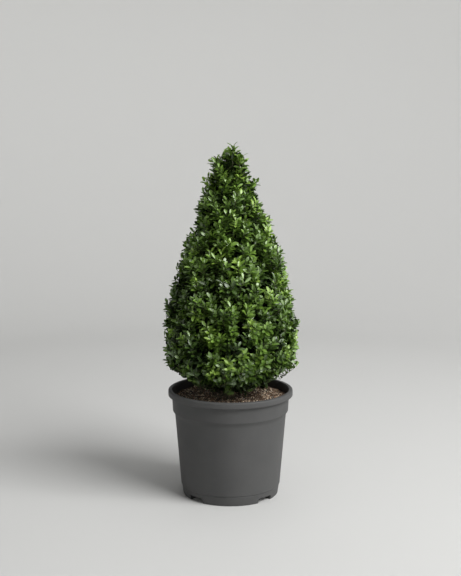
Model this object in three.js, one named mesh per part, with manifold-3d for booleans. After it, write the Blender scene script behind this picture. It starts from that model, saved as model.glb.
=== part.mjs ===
// A boxwood trained as a clipped cone, growing in a round nursery pot.
// Millimetres, +Z up. The origin is the middle of the pot's flat underside.

import * as THREE from 'three';
import { mergeVertices } from 'three/addons/utils/BufferGeometryUtils.js';
import Module from 'manifold-3d';

const wasm = await Module();
wasm.setup();

// ---------------------------------------------------------------- driving sizes

const GAP = 0.3; // clear space left between neighbouring solids
const TURN = 2 * Math.PI;

const POT = {
  height: 205,
  wall: 2,
  floor: 2.5,
  footRadius: 92.3, // where the pot stands
  footChamfer: 1.5,
  footTopRadius: 94.8,
  footHeight: 17.5, // base band, below the moulding seam
  wallFootRadius: 96,
  wallFootHeight: 20,
  wallInset: 0.8, // how much thicker the wall is behind the base band
  wallTopRadius: 106.8,
  wallTopHeight: 152,
  shoulderGroove: 1.6, // the collar's lower edge stands this far out of the shoulder
  shoulderLedge: 2,
  shoulderSteps: 2,
  collarFootRadius: 111.4,
  collarFootHeight: 164,
  collarTopRadius: 112.9,
  collarTopHeight: 191,
  lipRadius: 120,
  lipHeight: 8, // upright outer face of the rolled lip, above its chamfer
  lipRound: 3,
  segments: 36,
};

// The lip's inner edge, each point as its radius past the collar's top and its depth below the rim.
const LIP_EDGE = [
  { out: 1.2, down: 0 },
  { out: -0.4, down: 1 },
  { out: -1.4, down: 5 },
];

const POCKET = {
  count: 4, // drainage pockets let into the base edge
  firstAngle: TURN / 8,
  width: 34,
  height: 9.5,
  corner: 4,
  depth: 20,
  wall: 2,
  drainRadius: 5.5,
  drainInset: 2, // how far in of the pocket's middle its drain hole lies
};

const SOIL = {
  top: 189.5,
  unevenness: 1.6,
  mound: 1.2, // how much higher the soil lies round the stem
  flatRadius: 16,
  rings: 4,
  waveX: 9, // lengths of the surface's waves, and how strong the slanting one is
  waveY: 8,
  waveSlant: 5,
  slantShare: 0.7,
};

const STEM = {
  foot: 190.6,
  top: 661,
  radius: 8.5,
  tipRadius: 1.4,
  flare: 5.5, // extra radius of the root flare at the soil
  flareHeight: 9,
  flareLobes: 5,
  lobeDepth: 0.25,
  taper: 0.9, // below 1, the stem keeps its thickness further up
  lean: 0.009, // sideways travel for each millimetre of height
  sway: 2.6,
  sides: 10,
  steps: 16,
  stepsLow: 1.7, // above 1, the steps are closer together near the flare
};

const CROWN = {
  foot: 198,
  widest: 300,
  top: 676,
  radius: 134,
  footShare: 0.24, // foot radius over the widest radius
  footCurve: 2.4,
  tipCurve: 1.3,
  tipPower: 0.72,
  coreShare: 0.38, // bare middle over the full radius
  coreLeast: 12.5,
  lump: 0.022,
  lumps: [
    { round: 3, length: 31, start: 0 },
    { round: 5, length: -23, start: 2 },
    { round: 4, length: 17, start: 0 },
  ],
};

// Each tier of foliage: its lowest height, how many masses go round, and where the first lies.
const TIERS = [
  { name: 'skirt', foot: 198, count: 6, firstAngle: 0.26, boughRadius: 4.6, color: 0x35521f },
  { name: 'lower', foot: 305, count: 6, firstAngle: 0.8, boughRadius: 4.0, color: 0x3b5b23 },
  { name: 'upper', foot: 420, count: 5, firstAngle: 0.1, boughRadius: 3.2, color: 0x426527 },
  { name: 'top', foot: 530, count: 4, firstAngle: 0, boughRadius: 2.4, color: 0x4a6e2b },
];
const TIERS_END = 638;

const MASS = {
  gap: 1.0, // clearance on each side of a mass
  roundness: 20, // power of the rounded-brick norm, higher is squarer
  acrossSteps: 4,
  upSteps: 6,
  deepSteps: 2,
  breadth: 0.7, // half breadth of a mass over its half angle at the outline
  seamWave: 0.12, // sideways wander of the upright seams, in radians
  seamStep: 2.4, // how much the wander differs from one seam to the next, in radians
  tierWave: 6, // height wander of the level seams
  footWave: 1.5, // the same at the crown's foot
};

// The two side shoots that stand up beside the leader.
const SHOOTS = [
  { angle: Math.PI, rise: 18, reach: 10, spread: 0.6 },
  { angle: 0, rise: 24, reach: 6, spread: 0.6 },
];
const SHOOT_START = 600;

const LEADER = { foot: 630, top: 676, radius: 11, slimming: 0.3, sides: 10, rings: 7 };

const BOUGH = {
  rise: 1.1, // height gained for each millimetre out to the mass
  aimDrop: 10, // how far below a mass's middle its bough enters
  stagger: 6, // neighbouring boughs leave the stem this much higher or lower
  intoMass: 16,
  endRise: 0.7, // height gained inside the mass for each millimetre out
  bendOut: 0.55, // where the bough bends upward, out along its way and up it
  bendUp: 0.36,
  footClear: 4, // least height of a bough over the stem's foot
  endShare: 0.55,
  sides: 6,
  steps: 4,
};

const FINISH = {
  pot: { color: 0x4a4b4c, roughness: 0.55, metalness: 0 },
  soil: { color: 0x3a2a20, roughness: 0.95, metalness: 0 },
  bark: { color: 0x8a7a5e, roughness: 0.9, metalness: 0 },
  leaf: { roughness: 0.45, metalness: 0 },
};

// ------------------------------------------------------------- geometry helpers

/** Turn a closed three.js geometry into a solid that can be joined and cut. */
function solidOf(geometry) {
  const bare = new THREE.BufferGeometry();
  bare.setAttribute('position', geometry.getAttribute('position'));
  bare.setIndex(geometry.getIndex());
  const merged = mergeVertices(bare, 1e-4);
  const index = merged.getIndex().array;
  const faces = [];
  for (let i = 0; i < index.length; i += 3) {
    const [a, b, c] = [index[i], index[i + 1], index[i + 2]];
    if (a !== b && b !== c && c !== a) {
      faces.push(a, b, c);
    }
  }
  const mesh = new wasm.Mesh({
    numProp: 3,
    vertProperties: Float32Array.from(merged.getAttribute('position').array),
    triVerts: Uint32Array.from(faces),
  });
  return new wasm.Manifold(mesh);
}

/** Turn a solid back into a three.js geometry with flat faces. */
function geometryOf(solid) {
  const mesh = solid.getMesh();
  const geometry = new THREE.BufferGeometry();
  geometry.setAttribute('position', new THREE.Float32BufferAttribute(mesh.vertProperties, 3));
  geometry.setIndex(new THREE.Uint32BufferAttribute(mesh.triVerts, 1));
  const flat = geometry.toNonIndexed();
  flat.computeVertexNormals();
  return flat;
}

/** Spin an outline of [radius, height] pairs round the Z axis. */
function spin(outline, segments) {
  const points = outline.map(([radius, height]) => new THREE.Vector2(radius, height));
  return new THREE.LatheGeometry(points, segments).rotateX(Math.PI / 2);
}

/** Points of a circular arc in the outline plane, both ends included. */
function arc(centreRadius, centreHeight, size, from, to, steps) {
  const points = [];
  for (let i = 0; i <= steps; i += 1) {
    const angle = from + ((to - from) * i) / steps;
    points.push([centreRadius + size * Math.cos(angle), centreHeight + size * Math.sin(angle)]);
  }
  return points;
}

/** A tube of changing radius along a path, closed by a flat start and a domed or flat end. */
function limb(centreAt, radiusAt, steps, sides) {
  const positions = [];
  const faces = [];
  const up = new THREE.Vector3(0, 0, 1);
  for (let i = 0; i <= steps; i += 1) {
    const share = i / steps;
    const centre = centreAt(share);
    const ahead = centreAt(Math.min(share + 0.01, 1)).sub(centreAt(Math.max(share - 0.01, 0)));
    const tangent = i === 0 ? centreAt(0.01).sub(centre).normalize() : ahead.normalize();
    const turn = new THREE.Quaternion().setFromUnitVectors(up, tangent);
    for (let j = 0; j < sides; j += 1) {
      const angle = (TURN * j) / sides;
      const radius = radiusAt(share, angle);
      const point = new THREE.Vector3(radius * Math.cos(angle), radius * Math.sin(angle), 0);
      positions.push(...point.applyQuaternion(turn).add(centre).toArray());
    }
  }
  const startCentre = positions.length / 3;
  positions.push(...centreAt(0).toArray(), ...centreAt(1).toArray());
  for (let j = 0; j < sides; j += 1) {
    const k = (j + 1) % sides;
    for (let i = 0; i < steps; i += 1) {
      const low = i * sides;
      const high = low + sides;
      faces.push(low + j, low + k, high + k, low + j, high + k, high + j);
    }
    const last = steps * sides;
    faces.push(startCentre, k, j, startCentre + 1, last + j, last + k);
  }
  const geometry = new THREE.BufferGeometry();
  geometry.setAttribute('position', new THREE.Float32BufferAttribute(positions, 3));
  geometry.setIndex(faces);
  return geometry;
}

/** A named mesh with its own material. */
function part(name, geometry, finish) {
  const mesh = new THREE.Mesh(geometry, new THREE.MeshStandardMaterial(finish));
  mesh.name = name;
  return mesh;
}

const mix = (from, to, share) => from + (to - from) * share;

// -------------------------------------------------------------------------- pot

/** Outer outline of the pot, from the middle of its underside up to the lip's crown. */
function potOutside() {
  const lipFoot = POT.height - POT.lipRound - POT.lipHeight;
  const shoulder = POT.collarFootHeight - POT.wallTopHeight - POT.shoulderLedge;
  const shoulderReach = POT.collarFootRadius - POT.wallTopRadius - POT.shoulderGroove;
  const outline = [
    [0, 0],
    [POT.footRadius - POT.footChamfer, 0],
    [POT.footRadius, POT.footChamfer],
    [POT.footTopRadius, POT.footHeight],
    [POT.wallFootRadius, POT.wallFootHeight],
  ];
  for (let i = 0; i <= POT.shoulderSteps; i += 1) {
    const share = i / POT.shoulderSteps;
    outline.push([POT.wallTopRadius + shoulderReach * share ** 2, POT.wallTopHeight + shoulder * share]);
  }
  outline.push([POT.collarFootRadius, POT.collarFootHeight]);
  outline.push([POT.collarTopRadius, POT.collarTopHeight]);
  outline.push([POT.lipRadius, lipFoot]);
  const round = POT.lipRound;
  outline.push(...arc(POT.lipRadius - round, POT.height - round, round, 0, Math.PI / 2, 3));
  return outline;
}

/** Inner outline of the pot's wall, from the lip's inner edge down to the middle of its floor. */
function potInside(clearance = 0) {
  const inset = POT.wall + clearance;
  return [
    [POT.collarTopRadius - inset, POT.collarTopHeight],
    [POT.collarFootRadius - inset, POT.collarFootHeight - 1],
    [POT.wallTopRadius - inset, POT.wallTopHeight],
    [POT.wallFootRadius - inset, POT.wallFootHeight + POT.wall],
    [POT.footTopRadius - inset - POT.wallInset, POT.footHeight - 1],
    [POT.footRadius - inset - POT.footChamfer, POT.floor + clearance],
    [0, POT.floor + clearance],
  ];
}

/** The upright doorway shape of a drainage pocket, pushed out along +X and turned into place. */
function pocketBlock(index, extra) {
  const half = POCKET.width / 2 + extra;
  const top = POCKET.height + extra;
  const corner = POCKET.corner + extra;
  const door = new THREE.Shape();
  door.moveTo(-half, -1);
  door.lineTo(half, -1);
  door.lineTo(half, top - corner);
  door.absarc(half - corner, top - corner, corner, 0, Math.PI / 2);
  door.lineTo(-half + corner, top);
  door.absarc(-half + corner, top - corner, corner, Math.PI / 2, Math.PI);
  const inner = POT.footRadius - POCKET.depth - extra;
  const block = new THREE.ExtrudeGeometry(door, {
    depth: POT.lipRadius - inner,
    bevelEnabled: false,
    curveSegments: 3,
  });
  block.rotateX(Math.PI / 2).rotateZ(Math.PI / 2).translate(inner, 0, 0);
  return block.rotateZ(POCKET.firstAngle + (TURN * index) / POCKET.count);
}

/** The upright hole through the roof of a drainage pocket. */
function drainHole(index) {
  const tall = 3 * POCKET.height;
  const hole = new THREE.CylinderGeometry(POCKET.drainRadius, POCKET.drainRadius, tall, 10);
  hole.rotateX(Math.PI / 2).translate(POT.footRadius - POCKET.depth / 2 - POCKET.drainInset, 0, 0);
  return hole.rotateZ(POCKET.firstAngle + (TURN * index) / POCKET.count);
}

/** The pot: a thin turned shell with its pockets let into the base edge. */
function buildPot() {
  const outside = potOutside();
  const lipEdge = LIP_EDGE.map(({ out, down }) => [POT.collarTopRadius + out, POT.height - down]);
  let pot = solidOf(spin([...outside, ...lipEdge, ...potInside()], POT.segments));
  const whole = solidOf(spin([...outside, [0, POT.height]], POT.segments));
  for (let i = 0; i < POCKET.count; i += 1) {
    pot = pot.add(solidOf(pocketBlock(i, POCKET.wall)).intersect(whole));
  }
  for (let i = 0; i < POCKET.count; i += 1) {
    pot = pot.subtract(solidOf(pocketBlock(i, 0))).subtract(solidOf(drainHole(i)));
  }
  return part('pot', geometryOf(pot), FINISH.pot);
}

// ------------------------------------------------------------------------- soil

/** Height of the soil's uneven top, which is flat where the stem stands. */
function soilHeight(x, y) {
  const out = Math.hypot(x, y);
  const clear = THREE.MathUtils.smoothstep(out, SOIL.flatRadius, 2 * SOIL.flatRadius);
  const slanting = SOIL.slantShare * Math.sin((x - y) / SOIL.waveSlant);
  const rough = Math.sin(x / SOIL.waveX + 1) * Math.cos(y / SOIL.waveY) + slanting;
  const mound = SOIL.mound * (1 - out / POT.collarTopRadius);
  return SOIL.top + mound * clear + (SOIL.unevenness * rough * clear) / (1 + SOIL.slantShare);
}

/** The potting soil: it fills the pot and keeps clear of the drainage pockets. */
function buildSoil() {
  const outline = potInside(GAP).reverse();
  const edge = outline.pop()[0] - GAP;
  outline.push([edge, SOIL.top - SOIL.unevenness]);
  for (let i = SOIL.rings; i > 0; i -= 1) {
    outline.push([mix(SOIL.flatRadius, edge - 1, (i - 1) / (SOIL.rings - 1)), SOIL.top]);
  }
  outline.push([0, SOIL.top]);
  const geometry = spin(outline, POT.segments / 2);
  const place = geometry.getAttribute('position');
  for (let i = 0; i < place.count; i += 1) {
    if (Math.abs(place.getZ(i) - SOIL.top) < 0.01) {
      place.setZ(i, soilHeight(place.getX(i), place.getY(i)));
    }
  }
  let soil = solidOf(geometry);
  for (let i = 0; i < POCKET.count; i += 1) {
    soil = soil.subtract(solidOf(pocketBlock(i, POCKET.wall + GAP)));
  }
  return part('potting_soil', geometryOf(soil), FINISH.soil);
}

// ------------------------------------------------------------------------- stem

/** Middle of the stem at a height: a slight lean to +X with a gentle sway. */
function stemCentre(z) {
  const up = z - STEM.foot;
  const share = Math.min(up / (STEM.top - STEM.foot), 1);
  const x = STEM.lean * up + STEM.sway * Math.sin(TURN * share);
  const y = STEM.sway * (1 - Math.cos(TURN * share)) * 0.5;
  return new THREE.Vector3(x, y, z);
}

/** Radius of the stem at a height, with the lobes of the root flare. */
function stemRadius(z, angle = 0) {
  const up = Math.max(z - STEM.foot, 0);
  const share = Math.min(up / (STEM.top - STEM.foot), 1);
  const flare = STEM.flare * Math.exp(-up / STEM.flareHeight);
  const lobes = 1 + STEM.lobeDepth * Math.cos(STEM.flareLobes * angle);
  return mix(STEM.radius, STEM.tipRadius, share ** STEM.taper) + flare * lobes;
}

/** The stem, whole from its flat cut at the soil to its tip, or larger all over by extra. */
function stemSolid(extra = 0) {
  const heightAt = (share) => mix(STEM.foot - extra, STEM.top + extra, share ** STEM.stepsLow);
  const centreAt = (share) => stemCentre(heightAt(share));
  const radiusAt = (share, angle) => stemRadius(heightAt(share), angle) + extra;
  return solidOf(limb(centreAt, radiusAt, STEM.steps, STEM.sides));
}

// ------------------------------------------------------------------------ crown

/** Clipped outline of the crown: an egg-shaped foot under a cone that rounds in to the tip. */
function crownRadius(z) {
  if (z < CROWN.widest) {
    const down = (CROWN.widest - z) / (CROWN.widest - CROWN.foot);
    return CROWN.radius * (1 - (1 - CROWN.footShare) * down ** CROWN.footCurve);
  }
  const up = Math.min((z - CROWN.widest) / (CROWN.top - CROWN.widest), 1);
  return CROWN.radius * (1 - up ** CROWN.tipCurve) ** CROWN.tipPower;
}

/** How strongly a side shoot is felt at an angle round the crown, from 0 to 1. */
function shootShare(shoot, angle) {
  const away = Math.atan2(Math.sin(angle - shoot.angle), Math.cos(angle - shoot.angle));
  return Math.exp(-((away / shoot.spread) ** 2));
}

/** Outline with the uneven growth and the two side shoots added. */
function outlineRadius(angle, z) {
  const lumpAt = ({ round, length, start }) => Math.sin(round * angle + z / length + start);
  const wave = CROWN.lumps.reduce((sum, lump) => sum + lumpAt(lump), 0);
  const start = THREE.MathUtils.smoothstep(z, SHOOT_START, TIERS_END);
  const shoots = SHOOTS.reduce((sum, shoot) => sum + shoot.reach * shootShare(shoot, angle), 0);
  return crownRadius(z) * (1 + (CROWN.lump * wave) / 2) + start * shoots;
}

/** Inner side of the foliage, round the bare middle where stem and boughs run. */
function coreRadius(z) {
  return Math.max(CROWN.coreShare * crownRadius(z), CROWN.coreLeast);
}

/** Height of the level seam below a tier, or above the last one. */
function seamHeight(tierIndex, angle) {
  if (tierIndex === 0) {
    return CROWN.foot + MASS.footWave * Math.sin(3 * angle);
  }
  if (tierIndex === TIERS.length) {
    return SHOOTS.reduce((sum, shoot) => sum + shoot.rise * shootShare(shoot, angle), TIERS_END);
  }
  return TIERS[tierIndex].foot + MASS.tierWave * Math.sin(3 * angle + 2 * tierIndex);
}

/** Angle of an upright seam of a tier at a share of the tier's height. */
function seamAngle(tier, seam, share) {
  const wander = MASS.seamWave * Math.sin(Math.PI * share + MASS.seamStep * (seam % tier.count));
  return tier.firstAngle + (TURN * (seam - 0.5)) / tier.count + wander;
}

/**
 * One mass of foliage: a rounded brick bent to fill its cell between two upright seams,
 * two level seams, the bare middle and the outline. A negative clearance makes it larger.
 */
function massGeometry(tierIndex, index, clearance) {
  const tier = TIERS[tierIndex];
  const brick = new THREE.BoxGeometry(2, 2, 2, MASS.acrossSteps, MASS.upSteps, MASS.deepSteps);
  const place = brick.getAttribute('position');
  const middle = (tier.foot + (TIERS[tierIndex + 1]?.foot ?? TIERS_END)) / 2;
  const half = {
    across: (Math.PI / tier.count) * MASS.breadth * crownRadius(middle),
    up: middle - tier.foot,
    deep: (crownRadius(middle) - coreRadius(middle)) / 2,
  };
  const power = MASS.roundness;
  for (let i = 0; i < place.count; i += 1) {
    const at = [place.getX(i), place.getY(i), place.getZ(i)];
    const norm = at.reduce((sum, value) => sum + Math.abs(value) ** power, 0) ** (1 / power);
    const across = (at[0] / norm) * (1 - clearance / half.across);
    const up = (at[1] / norm) * (1 - clearance / half.up);
    const deep = (at[2] / norm) * (1 - clearance / half.deep);
    const upShare = (up + 1) / 2;
    const left = seamAngle(tier, index, upShare);
    const right = seamAngle(tier, index + 1, upShare);
    const angle = mix(left, right, (across + 1) / 2);
    const z = mix(seamHeight(tierIndex, angle), seamHeight(tierIndex + 1, angle), upShare);
    const out = new THREE.Vector3(Math.cos(angle), Math.sin(angle), 0);
    const inner = stemCentre(z).addScaledVector(out, coreRadius(z));
    const outer = out.multiplyScalar(outlineRadius(angle, z) + clearance).setZ(z);
    place.setXYZ(i, ...inner.lerp(outer, (deep + 1) / 2).toArray());
  }
  return brick;
}

/** The leading tuft, a pointed egg round the stem's tip. */
function leaderSolid() {
  const egg = new THREE.SphereGeometry(1, LEADER.sides, LEADER.rings).rotateX(Math.PI / 2);
  const place = egg.getAttribute('position');
  const half = (LEADER.top - LEADER.foot) / 2;
  for (let i = 0; i < place.count; i += 1) {
    const z = LEADER.foot + half * (1 + place.getZ(i));
    const slim = LEADER.radius * (1 - LEADER.slimming * place.getZ(i));
    const centre = stemCentre(Math.min(z, STEM.top));
    place.setXYZ(i, centre.x + slim * place.getX(i), centre.y + slim * place.getY(i), z);
  }
  return solidOf(egg).subtract(stemSolid(GAP));
}

// ----------------------------------------------------------------------- boughs

/** One tapering bough from the stem to the face of the mass that it carries. */
function boughSolid(tierIndex, index, stemGrown) {
  const tier = TIERS[tierIndex];
  const angle = (seamAngle(tier, index, 0.5) + seamAngle(tier, index + 1, 0.5)) / 2;
  const above = TIERS[tierIndex + 1]?.foot ?? TIERS_END;
  const aim = (tier.foot + above) / 2 - BOUGH.aimDrop;
  const reach = coreRadius(aim) + BOUGH.intoMass;
  const stagger = index % 2 === 0 ? BOUGH.stagger : 0;
  const lowest = STEM.foot + tier.boughRadius + BOUGH.footClear;
  const start = Math.max(aim - BOUGH.rise * coreRadius(aim), lowest) + stagger;
  const from = stemCentre(start);
  const end = aim + BOUGH.intoMass * BOUGH.endRise;
  const to = new THREE.Vector3(reach * Math.cos(angle), reach * Math.sin(angle), end);
  const bend = from.clone().lerp(to, BOUGH.bendOut).setZ(mix(start, end, BOUGH.bendUp));
  const path = new THREE.QuadraticBezierCurve3(from, bend, to);
  const centreAt = (share) => path.getPoint(share);
  const radiusAt = (share) => tier.boughRadius * mix(1, BOUGH.endShare, share);
  const grown = solidOf(massGeometry(tierIndex, index, MASS.gap - GAP));
  const pieces = solidOf(limb(centreAt, radiusAt, BOUGH.steps, BOUGH.sides))
    .subtract(stemGrown)
    .subtract(grown)
    .decompose();
  return pieces.reduce((best, piece) => (piece.volume() > best.volume() ? piece : best));
}

// --------------------------------------------------------------------- assembly

const topiary = new THREE.Group();
topiary.add(buildPot());
topiary.add(buildSoil());
topiary.add(part('stem', geometryOf(stemSolid()), FINISH.bark));

const stemGrown = stemSolid(GAP);
TIERS.forEach((tier, tierIndex) => {
  const leaf = { ...FINISH.leaf, color: tier.color };
  for (let index = 0; index < tier.count; index += 1) {
    const mass = solidOf(massGeometry(tierIndex, index, MASS.gap));
    const bough = boughSolid(tierIndex, index, stemGrown);
    topiary.add(part(`bough_${tier.name}_${index + 1}`, geometryOf(bough), FINISH.bark));
    topiary.add(part(`foliage_${tier.name}_${index + 1}`, geometryOf(mass), leaf));
  }
});
const leaderLeaf = { ...FINISH.leaf, color: TIERS[TIERS.length - 1].color };
topiary.add(part('foliage_leader', geometryOf(leaderSolid()), leaderLeaf));

export default topiary;
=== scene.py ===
"""The finished look of a boxwood clipped to a cone, in its nursery pot."""

import logging
import math
from collections.abc import Iterator, Sequence
from contextlib import contextmanager
from dataclasses import dataclass, field
from enum import Enum

import bpy
import numpy as np
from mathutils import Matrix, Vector, noise
from mathutils.bvhtree import BVHTree


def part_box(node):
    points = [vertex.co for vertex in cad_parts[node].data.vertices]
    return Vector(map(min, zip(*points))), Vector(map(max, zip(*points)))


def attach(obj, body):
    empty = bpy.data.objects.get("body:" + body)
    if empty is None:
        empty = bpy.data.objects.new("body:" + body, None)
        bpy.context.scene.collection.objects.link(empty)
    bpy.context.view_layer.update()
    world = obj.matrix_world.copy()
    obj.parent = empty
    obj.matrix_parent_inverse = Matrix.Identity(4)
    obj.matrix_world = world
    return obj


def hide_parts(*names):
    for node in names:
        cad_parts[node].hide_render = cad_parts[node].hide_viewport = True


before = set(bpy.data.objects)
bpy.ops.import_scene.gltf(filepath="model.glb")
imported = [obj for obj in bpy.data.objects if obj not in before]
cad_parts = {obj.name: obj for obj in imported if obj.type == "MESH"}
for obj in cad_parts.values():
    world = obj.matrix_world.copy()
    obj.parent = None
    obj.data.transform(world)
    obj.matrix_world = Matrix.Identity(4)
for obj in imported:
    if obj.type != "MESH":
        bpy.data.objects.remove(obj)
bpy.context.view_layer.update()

Colour = tuple[float, float, float, float]
Pair = tuple[float, float]
Triple = tuple[float, float, float]

LOG = logging.getLogger("topiary")
MM = 0.001
TURN = 2 * math.pi
GOLDEN = 0.6180339887
UP = np.array([0.0, 0.0, 1.0])
SKEW = [0.37, 0.13, 0.92]
TINY = 1e-12


# ------------------------------------------------------------------ shader maths


class Wire:
    """A shader socket that can be used in Python arithmetic."""

    def __init__(self, tree: "Dye", socket: bpy.types.NodeSocket) -> None:
        """Wrap a socket of a material's node tree."""
        self.tree = tree
        self.socket = socket

    def _maths(self, operation: str, first: object, second: object) -> "Wire":
        """Add one Math node and return its output."""
        return self.tree.node("ShaderNodeMath", {"operation": operation}, {0: first, 1: second})

    def __add__(self, other: object) -> "Wire":
        """Sum."""
        return self._maths("ADD", self, other)

    def __radd__(self, other: object) -> "Wire":
        """Reflected sum."""
        return self._maths("ADD", other, self)

    def __sub__(self, other: object) -> "Wire":
        """Difference."""
        return self._maths("SUBTRACT", self, other)

    def __mul__(self, other: object) -> "Wire":
        """Product."""
        return self._maths("MULTIPLY", self, other)

    def __pow__(self, other: object) -> "Wire":
        """Power."""
        return self._maths("POWER", self, other)


class Dye:
    """Builds one procedural material around a Principled shader."""

    def __init__(self, name: str) -> None:
        """Start a material with its output and Principled shader.

        Args:
            name: The material's name.
        """
        self.material = bpy.data.materials.new(name)
        self.material.use_nodes = True
        self.tree = self.material.node_tree
        self.shader = self.tree.nodes["Principled BSDF"]

    def node(
        self,
        kind: str,
        settings: dict | None = None,
        inputs: dict | None = None,
        out: int | str = 0,
    ) -> Wire:
        """Add a node.

        Args:
            kind: The node's type.
            settings: Properties to set first.
            inputs: Values or wires by socket name or index.
            out: The output to return.

        Returns:
            The chosen output as a wire.
        """
        made = self.tree.nodes.new(kind)
        for key, value in (settings or {}).items():
            setattr(made, key, value)
        for key, value in (inputs or {}).items():
            self._feed(made.inputs[key], value)
        return Wire(self, made.outputs[out])

    def _feed(self, socket: bpy.types.NodeSocket, value: object) -> None:
        """Link a wire to a socket, or set a plain value on it.

        Args:
            socket: The input to feed.
            value: A wire or a plain value.
        """
        if isinstance(value, Wire):
            self.tree.links.new(value.socket, socket)
        else:
            socket.default_value = value

    def place(self) -> Wire:
        """Object coordinates, in metres."""
        return self.node("ShaderNodeTexCoord", out="Object")

    def stretched(self, scale: Triple) -> Wire:
        """Object coordinates scaled along each axis."""
        return self.node("ShaderNodeMapping", {}, {"Vector": self.place(), "Scale": scale})

    def speckle(self, scale: float, detail: float = 3.0, rough: float = 0.6, where: Wire | None = None) -> Wire:
        """Add noise between 0 and 1.

        Args:
            scale: Cycles per metre.
            detail: Octaves.
            rough: How strong each finer octave is.
            where: Coordinates, if not the object's own.

        Returns:
            The noise.
        """
        inputs = {"Vector": where or self.place(), "Scale": scale, "Detail": detail, "Roughness": rough}
        return self.node("ShaderNodeTexNoise", {}, inputs, "Fac")

    def blend(self, share: Wire | float, first: object, second: object) -> Wire:
        """Mix two colours by a share."""
        colours = {"Factor": share, 6: first, 7: second}
        return self.node("ShaderNodeMix", {"data_type": "RGBA"}, colours, 2)

    def window(self, value: Wire, span: Pair) -> Wire:
        """Stretch a value so that a span's ends give 0 and 1, clamped."""
        return self.node("ShaderNodeMapRange", {"clamp": True}, {0: value, 1: span[0], 2: span[1]})

    def bump(self, height: Wire, depth: float) -> Wire:
        """A bump normal from a height between 0 and 1, depth metres deep."""
        return self.node("ShaderNodeBump", {}, {"Height": height, "Distance": depth, "Strength": 1.0})

    def finish(self, **sockets: object) -> bpy.types.Material:
        """Feed the Principled shader.

        Args:
            sockets: Values or wires by socket name, with _ for each space.

        Returns:
            The finished material.
        """
        for name, value in sockets.items():
            self._feed(self.shader.inputs[name.replace("_", " ")], value)
        return self.material


def rgba(red: float, green: float, blue: float) -> Colour:
    """An opaque linear colour."""
    return (red, green, blue, 1.0)


# ---------------------------------------------------------------------- finishes


@dataclass(frozen=True)
class PotPlastic:
    """Matte injection-moulded plastic with a fine grain and faint scuffs, its inner face above the soil painted
    near-black as shade.
    """

    name: str = "pot_plastic"
    dark: Colour = rgba(0.060, 0.060, 0.060)
    pale: Colour = rgba(0.077, 0.077, 0.076)
    tone_span: Pair = (0.35, 0.65)
    scuffed: Colour = rgba(0.13, 0.13, 0.128)
    scuff_span: Pair = (0.62, 0.78)
    scuff_share: float = 0.22
    # Near-black painted shade for the pot's inner face above the soil.
    inside_shade: Colour = rgba(0.016, 0.014, 0.012)
    flow_stretch: Triple = (1.0, 1.0, 0.12)
    grain_scale: float = 2600.0
    grain_depth: float = 0.06 * MM
    gloss: float = 0.3
    flare: float = 0.0556
    # Where the painted shade inside the pot starts: radius less the flare, and height above the collar's foot.
    inside_shade_edge: Pair = (101.6 * MM, 100.6 * MM)
    inside_shade_foot: Pair = (164.0 * MM, 165.0 * MM)

    def _inside(self, dye: Dye) -> Wire:
        """Find the inner face above the collar's foot.

        Args:
            dye: The material being made.

        Returns:
            1 on the inner face and 0 elsewhere. The flare takes the collar's slope out of the radius.
        """
        x, y, z = (dye.node("ShaderNodeSeparateXYZ", {}, {0: dye.place()}, axis) for axis in range(3))
        radius = (x**2.0 + y**2.0) ** 0.5
        return dye.window(radius - z * self.flare, self.inside_shade_edge) * dye.window(z, self.inside_shade_foot)

    def material(self) -> bpy.types.Material:
        """Make the plastic.

        Returns:
            The finished material.
        """
        dye = Dye(self.name)
        drift = dye.speckle(9.0, 4.0)
        flow = dye.speckle(14.0, 3.0, 0.5, dye.stretched(self.flow_stretch))
        grain = dye.speckle(self.grain_scale, 2.0, 0.5)
        scuff = dye.window(dye.speckle(60.0, 6.0, 0.72), self.scuff_span)
        colour = dye.blend(dye.window(drift * 0.6 + flow * 0.4, self.tone_span), self.dark, self.pale)
        colour = dye.blend(scuff * self.scuff_share, colour, self.scuffed)
        # Paint the inner face near-black as shade.
        colour = dye.blend(self._inside(dye), colour, self.inside_shade)
        return dye.finish(
            Base_Color=colour,
            Roughness=0.56 + flow * 0.10 + scuff * 0.12,
            Specular_IOR_Level=self.gloss,
            Normal=dye.bump(grain * 0.75 + drift * 0.25, self.grain_depth),
        )


@dataclass(frozen=True)
class Compost:
    """Moist dark potting mix between the chips, with pale flecks."""

    name: str = "potting_mix"
    dark: Colour = rgba(0.014, 0.009, 0.006)
    pale: Colour = rgba(0.150, 0.090, 0.054)
    lump_scale: float = 260.0
    lump_span: Pair = (0.35, 0.7)
    lump_depth: float = 1.2 * MM
    fleck: Colour = rgba(0.60, 0.44, 0.28)
    fleck_scale: float = 1100.0
    fleck_span: Pair = (0.60, 0.70)
    fleck_share: float = 0.9
    rough: float = 0.9

    def material(self) -> bpy.types.Material:
        """Make the mix.

        Returns:
            The finished material.
        """
        dye = Dye(self.name)
        lump = dye.speckle(self.lump_scale, 6.0, 0.7)
        fleck = dye.window(dye.speckle(self.fleck_scale, 3.0, 0.6), self.fleck_span)
        colour = dye.blend(dye.window(lump, self.lump_span), self.dark, self.pale)
        colour = dye.blend(fleck * self.fleck_share, colour, self.fleck)
        return dye.finish(Base_Color=colour, Roughness=self.rough, Normal=dye.bump(lump, self.lump_depth))


@dataclass(frozen=True)
class Chip:
    """Dry surface of a small piece of bark, fibre or grain."""

    name: str
    dark: Colour
    pale: Colour
    scale: float = 420.0
    tone_span: Pair = (0.32, 0.68)
    depth: float = 0.3 * MM
    rough: float = 0.86

    def material(self) -> bpy.types.Material:
        """Make the chip's surface.

        Returns:
            The finished material.
        """
        dye = Dye(self.name)
        grain = dye.speckle(self.scale, 4.0, 0.65)
        colour = dye.blend(dye.window(grain, self.tone_span), self.dark, self.pale)
        return dye.finish(Base_Color=colour, Roughness=self.rough, Normal=dye.bump(grain, self.depth))


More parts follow.
